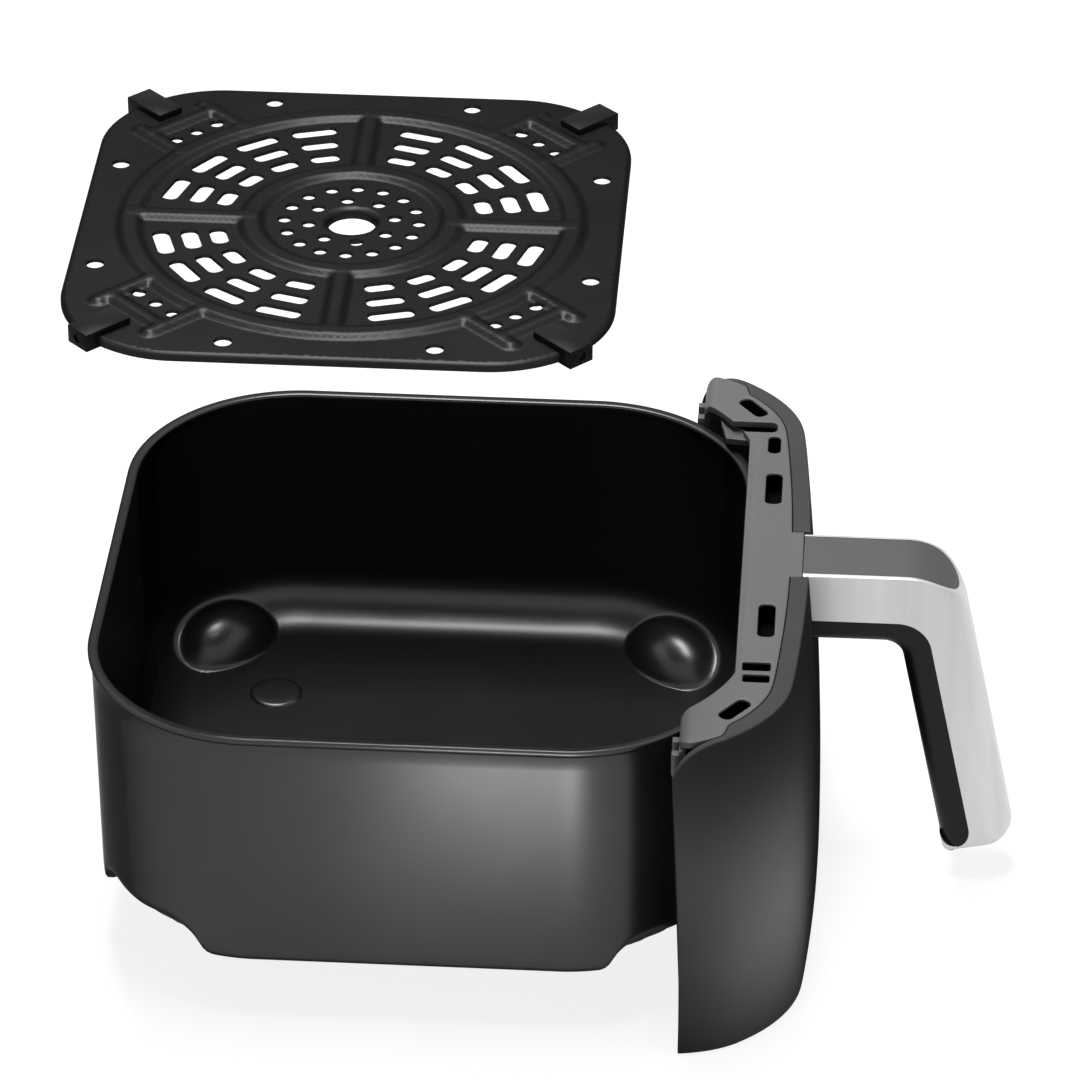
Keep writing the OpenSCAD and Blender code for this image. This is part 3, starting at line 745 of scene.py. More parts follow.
def plate_holes(s):
    """The round vents inside the inner ridge, the slots between the ridges, three vents on
    each corner ladder and two holes near each edge."""
    holes = [circle(radius * cos(radians(first + 360 / count * i)),
                    radius * sin(radians(first + 360 / count * i)), s.vent_hole)
             for radius, first, count in ((15.9, 11, 8), (24.8, 0, 16)) for i in range(count)]
    slot_first, slot_apart, slot_corner, slot_shrink = 16.8, 18.8, 2.6, 1.5
    ladder_vent, vent_apart = 91.4, 9.6
    for quarter in range(4):
        for ring in range(3):
            for step in range(4):
                turn = -90 * quarter - slot_first - slot_apart * step
                a, r = radians(turn), s.slot_ring - ring * s.slot_step
                holes.append(rounded(s.slot_width / 2, s.slot_length / 2 - slot_shrink * ring,
                                     slot_corner, 4, 5, (r * cos(a), r * sin(a)), turn))
        a = radians(45 + 90 * quarter)
        for side in (-vent_apart, 0, vent_apart):
            holes.append(circle(ladder_vent * cos(a) - side * sin(a),
                                ladder_vent * sin(a) + side * cos(a), s.vent_hole))
    for sx, sy in QUARTERS:
        for x, y in ((s.edge_out, s.edge_side), (s.edge_side, s.edge_out)):
            holes.append(circle(sx * x, sy * y, s.edge_hole, 24))
    return holes


def make_plate():
    s = sizes("drawer_plate")
    rim = 1.5

    def edge(inset):
        return rounded(s.half - inset, s.half - inset, s.corner - inset, 30, 24)

    collar = circle(0, 0, s.centre_hole + rim, 64)
    loops = [edge(rim), collar] + plate_holes(s)
    flat, triangles = fill(loops, step=1.25)
    relief = plate_relief(s, flat[:, 0], flat[:, 1])
    shape = Shape()
    upper = shape.add(np.column_stack([flat, relief]))
    lower = shape.add(np.column_stack([flat, relief - s.sheet]))
    shape.faces += [tuple(upper[i] for i in t) for t in triangles]
    shape.faces += [tuple(lower[i] for i in t)[::-1] for t in triangles]
    profiles = {0: [(edge(d), -h) for d, h in ((0.75, 0.14), (0.22, 0.55), (0, 1.3), (0, s.lip),
                                               (1.2, s.lip))],
                1: [(circle(0, 0, s.centre_hole + d, 64), -h) for d, h in
                    ((0.75, 0.14), (0.2, 0.55), (0, 1.2), (0, s.lip + 1), (1.4, s.lip + 1))]}
    start = 0
    for k, loop in enumerate(loops):
        stop = start + len(loop)
        above = upper[start:stop]
        for ring, z in profiles.get(k, ()):
            row = shape.add([(x, y, z) for x, y in ring])
            shape.band(above, row)
            above = row
        shape.band(above, lower[start:stop])
        start = stop
    shape.points = [(x, y + s.lift_y, z + s.lift_z) for x, y, z in shape.points]
    dress(shape.make("crisper_plate"), "plate", "coated_plate", "crisper_plate", smooth=48)


def make_bumpers():
    s = sizes("drawer_plate")
    half = s.bumper_width / 2
    block = prism("bumper_block", [(-half, -s.bumper_down), (half, -s.bumper_down),
                                   (half, s.bumper_up), (-half, s.bumper_up)],
                  -s.bumper_length, 0)
    round_edges(block, 0.35)
    socket_radius, socket_low, socket_deep = 1.7, 0.7, 0.6
    carve(block, prism("socket", circle(0, -socket_low, socket_radius, 28), -socket_deep, 1))

    def build(tree, given):
        ring = put(tree, "GeometryNodeMeshCircle", Vertices=given["Count"],
                   Radius=given["Radius"])
        place = put(tree, "GeometryNodeInputPosition")
        aim = put(tree, "FunctionNodeAlignRotationToVector", {"axis": "X"}, Vector=place)
        model = put(tree, "GeometryNodeObjectInfo", out=4, Object=given["Block"])
        copies = put(tree, "GeometryNodeInstanceOnPoints", Points=ring, Instance=model,
                     Rotation=aim)
        lifted = put(tree, "GeometryNodeTransform", Geometry=copies,
                     Rotation=(0, 0, radians(45)),
                     Translation=(0, s.lift_y * MM, s.lift_z * MM))
        real = put(tree, "GeometryNodeRealizeInstances", Geometry=lifted)
        return put(tree, "GeometryNodeSetMaterial", Geometry=real, Material=given["Rubber"])

    piece = grown("corner_bumpers", {"Count": 4, "Radius": s.bumper_end * MM, "Block": block,
                                     "Rubber": material("bumper_rubber")}, build)
    bpy.data.objects.remove(block)
    dress(piece, "plate", "bumper_rubber", "bumper_front_left", "bumper_front_right",
          "bumper_rear_left", "bumper_rear_right", smooth=40)


# ---- front cover and frame

def cover_plan(s):
    """The cover's outline from above as columns of (x, distance in front of the middle),
    from the right wing's rear edge round the face to the left one's."""
    shoulder_steps, corner_steps, face_steps, softenings = 12, 28, 24, 12
    n, across = s.corner_power, s.half - s.corner
    low = s.wing - 2
    deep = s.face - s.bow - low
    columns = []
    for k in range(shoulder_steps + 1):
        f = s.wing + s.shoulder * (1 - cos(radians(90 * k / shoulder_steps)))
        columns.append((across + s.corner * (1 - ((f - low) / deep) ** n) ** (1 / n), f))
    start = asin(((columns[-1][1] - low) / deep) ** (n / 2))
    for k in range(1, corner_steps + 1):
        t = start + (pi / 2 - start) * k / corner_steps
        columns.append((across + s.corner * max(cos(t), 0) ** (2 / n),
                        low + deep * sin(t) ** (2 / n)))
    for k in range(1, face_steps + 1):
        x = across * (1 - k / face_steps)
        columns.append((x, s.face - s.bow * (x / across) ** 2))
    right = np.array(columns)
    soft = right[shoulder_steps + 1:]
    for _ in range(softenings):
        soft[1:-1] += 0.4 * (soft[:-2] + soft[2:] - 2 * soft[1:-1])
    return np.concatenate([right, (right * (-1, 1))[-2::-1]])


def plan_normals(plan):
    """Unit steps from each column of the plan into the cover."""
    along = np.gradient(plan, axis=0)
    inward = np.column_stack([along[:, 1], -along[:, 0]])
    inward /= np.linalg.norm(inward, axis=1)[:, None]
    inward[(plan * inward).sum(1) > 0] *= -1
    return inward


def seam_line(s):
    """Where the frame's top meets the cover's border, as columns like the plan's."""
    plan = cover_plan(s)
    return plan + plan_normals(plan) * (border_width(s, plan[:, 1]) + s.gap)[:, None]


def shoulder_top(s, f, edge, radius):
    """Height of the front's top at f in front of the middle, where it rolls down to an
    edge at a radius."""
    back = np.clip(edge + radius - f, 0, radius)
    return s.top - radius + np.sqrt(radius ** 2 - back ** 2)


def border_width(s, f):
    """Width of the flat border, which slims to the wall's edge on the wings."""
    slim = s.wall + 0.3
    return slim + (s.border - slim) * step_between(f, s.wing + 20, s.wing + 26)


def face_swell(s, z, f):
    """How far the face leans out at a height z; the wings' rear edges lean less."""
    widest, wing_share = 128, 0.73
    h = np.abs(1 - (s.top - z) / widest)
    share = wing_share + (1 - wing_share) * step_between(f, s.wing, s.wing + 16)
    return s.swell * (1 - h ** 1.8) * share


def make_cover():
    s = sizes("drawer_front")
    plan = cover_plan(s)
    rings, e, bevel, low = [], s.edge, 0.3, -s.drop
    outside_steps, inside_steps = 26, 16
    for (x, f), n in zip(plan, plan_normals(plan)):
        top = float(shoulder_top(s, f, s.wing, s.shoulder))
        border = float(border_width(s, f))
        profile = [(0, low + e + (top - low - 2 * e) * k / outside_steps)
                   for k in range(outside_steps + 1)]
        profile += [(e * (1 - cos(a)), top - e + e * sin(a)) for a in (pi / 6, pi / 3, pi / 2)]
        profile += [(border - bevel, top), (border, top - bevel), (border, top - s.wall),
                    (s.wall, top - s.wall - 0.05)]
        profile += [(s.wall, top - s.wall - (top - s.wall - low) * k / inside_steps)
                    for k in range(1, inside_steps)]
        profile += [(s.wall, low + bevel), (s.wall - bevel, low), (e, low),
                    (e * 0.3, low + e * 0.3)]
        ring = []
        for d, z in profile:
            px, pf = x + n[0] * d, f + n[1] * d
            ring.append((px, -(pf + float(face_swell(s, z, f))), z))
        rings.append(ring)
    cover = solid("front_cover", rings)
    h = sizes("drawer_handle")
    rear, front = s.border + 4 - s.face, -s.face - 30
    low, high = s.top - h.level - h.level_grip - 0.6, s.top + 9
    carve(cover, prism("notch", [(rear, low), (front, low), (front, high), (rear, high)],
                       -h.width / 2 - 1, h.width / 2 + 1))
    dress(cover, "drawer", "cover_plastic", "front_cover", smooth=40)


def frame_loops(s, pan, handle):
    """The frame's top from above: its outline and its ports, all anticlockwise."""
    room, turn_back = 0.8, 3.4
    tab = handle.width / 2 + room
    right = [(x, -f) for x, f in seam_line(s) if x > tab and f > s.frame_wing + turn_back + 0.2]
    edge_x = right[0][0]
    half_x, half_y = pan.width / 2 - pan.corner, pan.length / 2 - pan.corner
    reach = pan.corner + room

    def rim(y):
        return half_x + sqrt(reach ** 2 - (-y - half_y) ** 2)

    def rim_y(x):
        return -half_y - sqrt(reach ** 2 - (x - half_x) ** 2)

    rear, wing = -s.frame_edge, -s.frame_wing
    along = [(rim(y), y) for y in (rear + (wing - rear) * k / 14 for k in range(15))]
    # the right wing's channel, cut in from the rear edge with rounded corners
    from_x, to_x, end_y, r = 88.2, 95.6, -129.8, 2.6
    right_rear = [p for p in along if p[0] < from_x - 0.3] + [(from_x, rim_y(from_x))]
    right_rear += arc((from_x + r, end_y + r), r, 180, 270, 4)
    right_rear += arc((to_x - r, end_y + r), r, 270, 360, 4)
    right_rear += [(to_x, rim_y(to_x))] + [p for p in along if p[0] > to_x + 0.3]
    # the wing's rounded end, from where it turns to the cover
    turn_x = 122
    wing_end = [(turn_x + (edge_x + 0.02 - turn_x) * sin(a), wing - turn_back * (1 - cos(a)))
                for a in (pi / 10 * k for k in range(6))]
    tab_y = -handle.back + s.gap
    outline = right_rear + wing_end + right
    outline += [(tab, right[-1][1]), (tab, tab_y), (-tab, tab_y), (-tab, right[-1][1])]
    outline += [(-x, y) for x, y in reversed(along + wing_end + right)]
    near, far = -s.frame_edge - 7.2, -s.frame_edge - 13.6
    corner = (s.half - s.corner, -(s.wing - 2))

    def port(x0, y0, x1, y1, r=2.3):
        return rounded(abs(x1 - x0) / 2, abs(y1 - y0) / 2, r, 2, 6,
                       ((x0 + x1) / 2, (y0 + y1) / 2))

    ports = [port(72.6, near, 85, far + 1.4), port(-74.9, rear - 2.4, -80.4, far + 0.7, 0.9),
             port(-83, rear - 2.8, -88, far + 0.9, 0.9)]
    corner_port_out = 30.5
    for side in (-1, 1):
        ports.append(port(side * 35.5, near, side * 57.5, far))
        turn = -90 + side * 37
        a = radians(turn)
        ports.append(rounded(2.9, 7.3, 2.4, 3, 6, (side * corner[0] + corner_port_out * cos(a),
                                                  corner[1] + corner_port_out * sin(a)), turn))
    return outline[::-1], ports


def make_frame():
    s, pan, handle = sizes("drawer_front"), sizes("drawer_pan"), sizes("drawer_handle")
    outline, ports = frame_loops(s, pan, handle)

    def top(x, y):
        slope = np.clip((s.frame_edge + s.bevel + y) / s.bevel, 0, 1) * s.bevel * 0.3
        middle = 1 - step_between(np.abs(x), 76, 83)
        return shoulder_top(s, -y, s.frame_wing, s.frame_roll) - slope * middle

    def under(x, y):
        return top(x, y) - s.frame_sheet

    shape = Shape()
    slab(shape, [outline] + ports, 1.7, top, under, edge=0.35)
    # a lip under the rear edge rests on the pan's rim
    lip_half = 0.9
    lip = rounded(pan.width / 2 - pan.corner, lip_half, 0.3, 4, 2, (0, -s.frame_edge - lip_half))
    slab(shape, [lip], 8, s.top - s.frame_sheet - 0.2, pan.height, edge=0.1, edge_steps=1)
    foot = -s.drop + 2
    flange = rounded(s.panel_half - 12, s.flange / 2, 1, 6, 3, (0, -s.panel + s.flange / 2))
    slab(shape, [flange], 20, foot + 2, foot)
    # the upright panel is made lying down and turned up
    upright = Shape()
    height = s.top - s.frame_sheet - s.port_depth - 2 - foot
    sheet = rounded(s.panel_half, height / 2, 1.5, 12, 4, (0, foot + height / 2))
    slab(upright, [sheet], 16, s.panel_sheet, 0, edge=0.3)
    first = len(shape.points)
    shape.points += [(x, -s.panel - z, y) for x, y, z in upright.points]
    shape.faces += [tuple(first + i for i in face) for face in upright.faces]
    # skirts under the wings' ends: one along the cover, two along the rear edge
    side_line = [(x, f) for x, f in seam_line(s)
                 if x > 0 and s.frame_wing + 3.8 < f < s.frame_wing + 12]
    low, high = s.top - s.skirt, s.top - s.frame_sheet + 0.4
    rear, front = -s.frame_wing - 0.05, -s.frame_wing - 2.3
    section = [(rear, low), (rear, s.top - 5.6), (front, s.top - 4), (front, low)]
    inner_skirt, outer_skirt = (109.2, s.half - 18.6), (s.half - 13.2, s.half - 6.6)
    for side in (-1, 1):
        shape.loft([[(side * (x - inset), -f, z) for inset, z in
                     ((0.1, low), (0.1, high), (1.9, high), (1.9, low))] for x, f in side_line])
        for ends in (inner_skirt, outer_skirt):
            shape.loft([[(side * x, y, z) for y, z in section] for x in ends])
    dress(shape.make("front_frame"), "drawer", "frame_plastic", "front_frame", smooth=40)
    make_pockets(s, ports)
    make_ribs(s)


def make_pockets(s, ports):
    """Pockets that close the ports from below, painted near black as painted shade so the ports
    look deep and dark.
    """
    shape = Shape()
    under, low = s.top - s.frame_sheet - 0.3, s.top - s.frame_sheet - s.port_depth
    high, lining, seam, wall = s.top - 0.8, 0.3, 0.04, 1
    for port in ports:
        rings = [(lining, low + wall), (lining, high), (seam, high), (seam, under),
                 (-wall, under), (-wall, low)]
        shape.loft([[(x, y, z) for x, y in offset(port, d)] for d, z in rings])
    # the pockets take the near-black painted shade instead of the grip's finish
    dress(shape.make("port_pockets"), "drawer", "grip_plastic", paint="pocket_plastic")


def make_ribs(s):
    """Thin ribs in the recess beside the channel and between the two slots."""
    level, tall, thick, long = s.top - s.frame_sheet - 1.5, 2.4, 0.8, 9
    from_x, to_x, y = -77.6, -85.4, -127

    def build(tree, given):
        line = put(tree, "GeometryNodeMeshLine", {"mode": "END_POINTS"}, Count=given["Count"],
                   Start_Location=(from_x * MM, y * MM, level * MM),
                   Offset=(to_x * MM, y * MM, level * MM))
        bar = put(tree, "GeometryNodeMeshCube", Size=(thick * MM, long * MM, tall * MM))
        copies = put(tree, "GeometryNodeInstanceOnPoints", Points=line, Instance=bar)
        real = put(tree, "GeometryNodeRealizeInstances", Geometry=copies)
        return put(tree, "GeometryNodeSetMaterial", Geometry=real, Material=given["Plastic"])

    slats = grown("slot_ribs", {"Count": 2, "Plastic": material("frame_plastic")}, build)
    inner = offset([(103.4, -107.2), (88.9, -109.9), (86.2, -127.4)], thick)
    outer = offset(inner, -thick)
    web = solid("corner_rib", [[(x, y, z) for x, y in ring] for ring, z in (
        (inner, level - 0.9), (inner, level), (outer, level), (outer, level - tall),
        (inner, level - tall))])
    dress(join("frame_ribs", [slats, web]), "drawer", "frame_plastic")


def make_guides():
    s = sizes("drawer_front")
    top, back, half, half_gap = s.top - 9.2, -s.frame_wing, 6, 2.6
    thick, tip, shoulder, tall, gap_deep = 2.8, 0.8, 8, 16, 7.4
    outline = [(back, top), (back + thick, top), (back + thick, top - shoulder),
               (back + tip, top - tall), (back, top - tall)]
    room = [(back - 1, top - gap_deep), (back + 4, top - gap_deep), (back + 4, top + 3),
            (back - 1, top + 3)]
    for name, side in (("left", -1), ("right", 1)):
        place = side * (s.half - 16)
        block = prism(f"guide_{name}", outline, place - half, place + half)
        carve(block, prism("gap", room, place - half_gap, place + half_gap))
        round_edges(block, 0.3)
        dress(block, "drawer", "frame_plastic", f"guide_clip_{name}")


# ---- handle

BEND_STEPS = 40


def handle_curves(h, top):
    """The handle's side view as functions. Points are (distance in front, height)."""
    centre = (h.bend_y, top - h.bend)
    shell_back, palm_back = 2.5, 7.5
    ca, sa = cos(h.lean), sin(h.lean)

    def on_drop(x, z):
        return (centre[0] + x * ca - z * sa, centre[1] + x * sa + z * ca)

    def bend(y, level, x):
        r = (x - (y - centre[0]) * ca - (level - centre[1]) * sa) / (1 - sa)
        return (y, level - r, r)

    return SimpleNamespace(
        centre=centre, on_drop=on_drop, ca=ca, sa=sa, lean=h.lean * 180 / pi,
        outer=(centre[0], centre[1], h.bend),
        shell=bend(h.bend_y - shell_back, top - h.level, h.inside),
        palm=bend(h.bend_y - palm_back, top - h.level - h.level_grip, h.inside - h.grip),
        across=lambda p: (p[0] - centre[0]) * ca + (p[1] - centre[1]) * sa)


def path(c, b, back, end):
    """Stations along the line round the bend b, from the root to z = end on the drop."""
    level_steps, drop_steps = 14, 24
    top = b[1] + b[2]
    points = [(back + (b[0] - back) * k / level_steps, top) for k in range(level_steps)]
    points += arc(b, b[2], 90, c.lean, BEND_STEPS)
    x = c.across(points[-1])
    start = -(points[-1][0] - c.centre[0]) * c.sa + (points[-1][1] - c.centre[1]) * c.ca
    points += [c.on_drop(x, start + (end - start) * k / drop_steps)
               for k in range(1, drop_steps + 1)]
    return points


def cross_steps(half, count):
    """Places across a width, closer together towards its edges."""
    return [half * sin(pi / 2 * (2 * k / count - 1)) for k in range(count + 1)]


def nose_line(h, x):
    """How far in front of the drop's axis its rounded front lies, x from the middle."""
    return h.bend - h.nose * (1 - sqrt(max(1 - (x / (h.width / 2)) ** 2, 0)))


def shell_depths(h, c, front, back, xs):
    """Depth of the shell's surface under the station's front point, at each x: the long
    edges are rounded, and so is the drop's front."""
    span = hypot(back[0] - front[0], back[1] - front[1])
    a, b = c.across(front), c.across(back)
    half, e = h.width / 2, h.edge
    depths = []
    for x in xs:
        over = max(abs(x) - half + e, 0)
        edge = e - sqrt(max(e * e - over * over, 0))
        nose = (a - nose_line(h, x)) / max(a - b, 0.5) * span
        depths.append(float(smooth_max(edge, nose, 0.6)))
    return depths, span


def make_shell(h, c):
    end, half = -h.drop + h.end, h.width / 2
    xs = cross_steps(half, 44)
    fronts, backs = path(c, c.outer, h.back, end), path(c, c.palm, h.back, end)
    rings = []
    for front, back in zip(fronts, backs):
        depths, span = shell_depths(h, c, front, back, xs)
        unit = ((back[0] - front[0]) / span, (back[1] - front[1]) / span)
        ring = [(x, front[0] + unit[0] * d, front[1] + unit[1] * d)
                for x, d in zip(xs, depths)]
        last = depths[-1]
        sides = [last + (span - 1 - last) * k / 5 for k in range(1, 6)]
        ring += [(half, front[0] + unit[0] * d, front[1] + unit[1] * d) for d in sides]
        ring += [(x, back[0], back[1]) for x in (half - 1, half / 2, 0, -half / 2, 1 - half)]
        ring += [(-half, front[0] + unit[0] * d, front[1] + unit[1] * d)
                 for d in reversed(sides)]
        rings.append([(x, -y, z) for x, y, z in ring])
    # the drop's end: the last section, anticlockwise, is drawn in round the end's radius
    flat = [(x, c.across((-y, z))) for x, y, z in reversed(rings[-1])]
    end_steps, draw_in = 8, 0.8
    for k in range(1, end_steps + 1):
        a = pi / 2 * k / end_steps
        loop = offset(flat, h.end * (1 - cos(a)) * draw_in)[::-1]
        placed = [(x, c.on_drop(u, end - h.end * sin(a))) for x, u in loop]
        rings.append([(x, -y, z) for x, (y, z) in placed])
    shell = solid("handle_shell", rings)
    room = [(-y, z) for y, z in grip_outline(h, c, 0, reach=3)]
    carve(shell, prism("grip_room", room, -h.width, h.width),
          strip_solid("strip_room", h, c, grow=0.12, rise=3))
    dress(shell, "drawer", "satin_silver", "handle_shell", smooth=32)


def grip_outline(h, c, inset, reach=0.0):
    """The grip's side view, its palm side drawn in by inset or carried out by reach."""
    up = h.grip_up - h.drop
    x_out = c.across((c.shell[0], c.shell[1])) + c.shell[2]
    x_in = c.across((c.palm[0], c.palm[1])) + c.palm[2]
    r, tall, middle = (x_out - x_in) / 2, h.grip_tall, (x_out + x_in) / 2
    turn = [radians(-90 * k / 12) for k in range(13)]
    back = h.back - reach
    points = [(back, c.shell[1] + c.shell[2])]
    points += arc(c.shell, c.shell[2], 90, c.lean, BEND_STEPS)
    points += [c.on_drop(middle + r * cos(a), up + tall + tall * sin(a)) for a in turn]
    points += [c.on_drop(middle + (r - inset) * sin(a), up + tall - tall * cos(a))
               for a in turn[1:]]
    palm = (c.palm[0], c.palm[1], c.palm[2] + inset - reach)
    if reach:
        points.append(c.on_drop(x_in - reach, up + tall))
    points += arc(palm, palm[2], c.lean, 90, BEND_STEPS)
    points.append((back, palm[1] + palm[2]))
    return points


def make_grip(h, c):
    """Rounded on the palm's side, square where it meets the shell."""
    r, half = h.grip_edge, h.width / 2
    layers = [(half - r + r * sin(a), r * (1 - cos(a))) for a in
              [pi / 2 * k / 9 for k in range(9, -1, -1)]]
    rings = [[(x, -y, z) for y, z in grip_outline(h, c, d)] for x, d in layers]
    rings += [[(-x, y, z) for x, y, z in ring] for ring in reversed(rings)]
    dress(solid("handle_grip", rings), "drawer", "grip_plastic", "handle_grip")


def strip_solid(name, h, c, grow=0, rise=0):
    """The strip let into the handle's top: level, round the bend, narrowing to its end.
    Grown and raised, it is cut out of the shell to make its own room."""
    deep, fullness, least, edge = 1.0, 2.8, 0.35, 0 if rise else 0.25
    tip, half = 20.4 + grow, h.strip / 2 + grow
    start = tip - half - 1
    stations = [(h.back - (1 if rise else 0) + (h.bend_y - h.back) * k / 12, half)
                for k in range(12)]
    for k in range(BEND_STEPS + 1):
        out = tip * sin(pi / 2 * k / BEND_STEPS)
        into = max(out - start, 0) / (tip - start)
        stations.append((h.bend_y + out, max(half * sqrt(max(1 - into ** fullness, 0)), least)))
    rings = []
    for y, width in stations:
        out = max(y - h.bend_y, 0)
        round_bend = asin(min(out / h.bend, 1))
        ny, nz = sin(round_bend), cos(round_bend)
        base_y, base_z = (h.bend_y + h.bend * ny if out else y), c.centre[1] + h.bend * nz
        flat = width - max(edge, 0.01)
        row = [(-width, deep), (-width, edge - rise)]
        row += [(x, -rise) for x in np.linspace(-flat, flat, 13)]
        row += [(width, edge - rise), (width, deep)]
        rings.append([(x, ny * d - base_y, base_z - nz * d) for x, d in row])
    return solid(name, rings)


def make_strip(h, c):
    dress(strip_solid("handle_strip", h, c), "drawer", "strip_plastic", "handle_top_strip")


# ---- carried-over parts and stage

def finish_hidden():
    """The strap, rivets, screws and bar keep their CAD shapes and get their own finishes."""
    for node, slot in (("pan_bracket", "bracket_steel"), ("bracket_rivets", "bracket_steel"),
                       ("frame_screws", "screw_steel"), ("handle_core", "bracket_steel"),
                       ("handle_screws", "screw_steel")):
        piece = frame["nodes"][node]
        piece.data.materials.clear()
        piece.data.materials.append(material(slot))


def make_camera():
    camera = linked("camera", bpy.data.cameras.new("camera"))
    right = Vector((0.0638, -0.99796, 0.00338))
    up = Vector((0.53459, 0.03704, 0.84430))
    back = Vector((-0.84270, -0.05206, 0.53586))
    turn = Matrix((right, up, back)).transposed().to_4x4()
    camera.matrix_world = Matrix.Translation((-1.8467, -0.1563, 1.2896)) @ turn
    camera.data.lens, camera.data.sensor_width, camera.data.clip_end = 192.606, 36.0, 50
    bpy.context.scene.camera = camera


def lamp(name, place, size, power, target=(0, 0, 0.08), size_y=None, spread=180):
    data = bpy.data.lights.new(name, "AREA")
    data.energy, data.size, data.spread = power, size, radians(spread)
    if size_y:
        data.shape, data.size_y = "RECTANGLE", size_y
    light = linked(name, data)
    light.location = place
    light.visible_camera = False
    light.rotation_euler = (Vector(target) - Vector(place)).to_track_quat("-Z", "Y").to_euler()


def shown_rays(tree):
    """1 where the backdrop is seen, straight or in gloss, and 0 where it only gives light."""
    ray = tree.nodes.new("ShaderNodeLightPath")
    kinds = [Wire(tree, ray.outputs[f"Is {kind} Ray"])
             for kind in ("Camera", "Glossy", "Transmission")]
    return (kinds[0] + kinds[1] + kinds[2]).clamp()


def make_stage():
    scene, s = bpy.context.scene, bpy.context.scene.drawer_stage
    scene.view_settings.view_transform = "Standard"
    scene.world = bpy.data.worlds.new("studio")
    tree = emptied(scene.world)
    seen = shown_rays(tree)
    backdrop = put(tree, "ShaderNodeBackground", Color=(1, 1, 1, 1), Strength=1.0)
    even = put(tree, "ShaderNodeBackground", Color=(1, 1, 1, 1), Strength=s.sky)
    put_out(tree, "ShaderNodeOutputWorld",
            put(tree, "ShaderNodeMixShader", i0=seen, i1=even, i2=backdrop))
    shape = Shape()
    level = -sizes("drawer_front").drop - 0.4
    radii = (4000, 1500, 500)
    shape.loft([[(x, y, level) for x, y in circle(0, 0, r, 64)] for r in radii],
               first=None, last=(0, 0, level))
    floor = shape.make("floor", outward=False)
    paint = bpy.data.materials.new("floor")
    tree = emptied(paint)
    matt = put(tree, "ShaderNodeBsdfDiffuse", Color=(*scene.drawer_finish.floor, 1))
    glow = put(tree, "ShaderNodeEmission", Color=(1, 1, 1, 1), Strength=0.85)
    lit = put(tree, "ShaderNodeAddShader", i0=matt, i1=glow)
    put_out(tree, "ShaderNodeOutputMaterial",
            put(tree, "ShaderNodeMixShader", i0=shown_rays(tree), i1=matt, i2=lit))
    floor.data.materials.append(paint)
    lamp("overhead", (0.34, 0.10, 1.75), 0.42, 43 * s.key, size_y=1.5)
    lamp("rear", (-0.1, 1.7, 1.9), 1.0, 3 * s.key)
    lamp("front", (-0.9, -1.6, 1.4), 1.0, 0.3 * s.key)
    lamp("low_near", (-0.29, -0.045, -0.02), 0.10, 0.072 * s.key, (-0.05, -0.015, 0.06),
         spread=46)
    lamp("low_front", (-0.16, -0.26, 0.02), 0.06, 0.03 * s.key, (-0.115, -0.135, 0.03),
         spread=50)
    make_camera()


# ---- operators and panel

class DRAWER_OT_stage(bpy.types.Operator):
    """Adds the floor, the soft lamps and the camera"""
    bl_idname, bl_label = "drawer.stage", "Stage"

    def execute(self, context):
        make_stage()
        return {"FINISHED"}


class DRAWER_OT_pan(bpy.types.Operator):
    """Makes the pan with its rim bead, corner mounds and floor pad"""
    bl_idname, bl_label = "drawer.pan", "Pan"

    def execute(self, context):
        make_pan()
        return {"FINISHED"}


class DRAWER_OT_plate(bpy.types.Operator):
    """Makes the pressed crisper plate with its vents"""
    bl_idname, bl_label = "drawer.plate", "Crisper plate"

    def execute(self, context):
        make_plate()
        return {"FINISHED"}


class DRAWER_OT_bumpers(bpy.types.Operator):
    """Makes the rubber bumpers on the plate's four corners"""
    bl_idname, bl_label = "drawer.bumpers", "Corner bumpers"

    def execute(self, context):
        make_bumpers()
        return {"FINISHED"}


class DRAWER_OT_cover(bpy.types.Operator):
    """Makes the wrap-round front cover"""
    bl_idname, bl_label = "drawer.cover", "Front cover"

    def execute(self, context):
        make_cover()
        return {"FINISHED"}


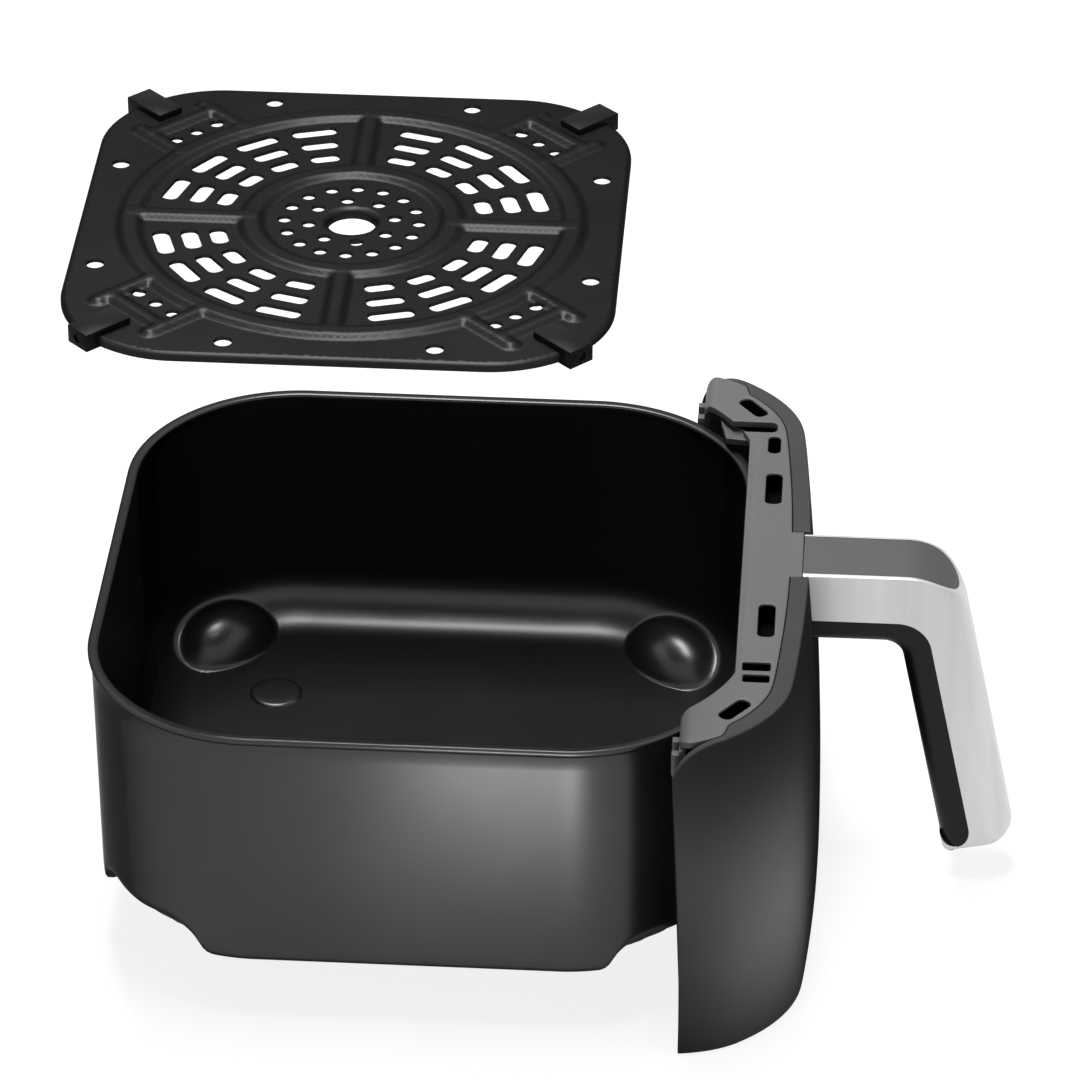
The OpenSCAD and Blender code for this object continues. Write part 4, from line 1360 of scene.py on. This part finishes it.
class DRAWER_OT_frame(bpy.types.Operator):
    """Makes the front frame with its ports, and the guides on its wings"""
    bl_idname, bl_label = "drawer.frame", "Front frame"

    def execute(self, context):
        make_frame()
        make_guides()
        return {"FINISHED"}


class DRAWER_OT_handle(bpy.types.Operator):
    """Makes the handle's shell, its top strip and its grip"""
    bl_idname, bl_label = "drawer.handle", "Handle"

    def execute(self, context):
        h = sizes("drawer_handle")
        c = handle_curves(h, sizes("drawer_front").top)
        for make in (make_shell, make_strip, make_grip):
            make(h, c)
        return {"FINISHED"}


class DRAWER_OT_hidden(bpy.types.Operator):
    """Finishes the fastenings that keep their CAD shapes"""
    bl_idname, bl_label = "drawer.hidden", "Fastenings"

    def execute(self, context):
        finish_hidden()
        return {"FINISHED"}


OPERATORS = (DRAWER_OT_stage, DRAWER_OT_pan, DRAWER_OT_plate, DRAWER_OT_bumpers,
             DRAWER_OT_cover, DRAWER_OT_frame, DRAWER_OT_handle, DRAWER_OT_hidden)


class DRAWER_PT_panel(bpy.types.Panel):
    """Lists the drawer's sizes and pieces"""
    bl_idname, bl_label = "DRAWER_PT_panel", "Air fryer drawer"
    bl_space_type, bl_region_type, bl_category = "VIEW_3D", "UI", "Drawer"

    def draw(self, context):
        for operator in OPERATORS:
            self.layout.operator(operator.bl_idname)
        for name in GROUPS:
            box = self.layout.box()
            group = getattr(context.scene, name)
            for prop in group.bl_rna.properties:
                if prop.identifier not in ("name", "rna_type"):
                    box.prop(group, prop.identifier)


CLASSES = (*GROUPS.values(), *OPERATORS, DRAWER_PT_panel)


def register():
    for cls in CLASSES:
        bpy.utils.register_class(cls)
    for name, group in GROUPS.items():
        setattr(bpy.types.Scene, name, bpy.props.PointerProperty(type=group))


def unregister():
    for name in GROUPS:
        delattr(bpy.types.Scene, name)
    for cls in reversed(CLASSES):
        bpy.utils.unregister_class(cls)


def main():
    register()
    for operator in OPERATORS:
        family, name = operator.bl_idname.split(".")
        getattr(getattr(bpy.ops, family), name)()


if __name__ == "__main__":
    main()
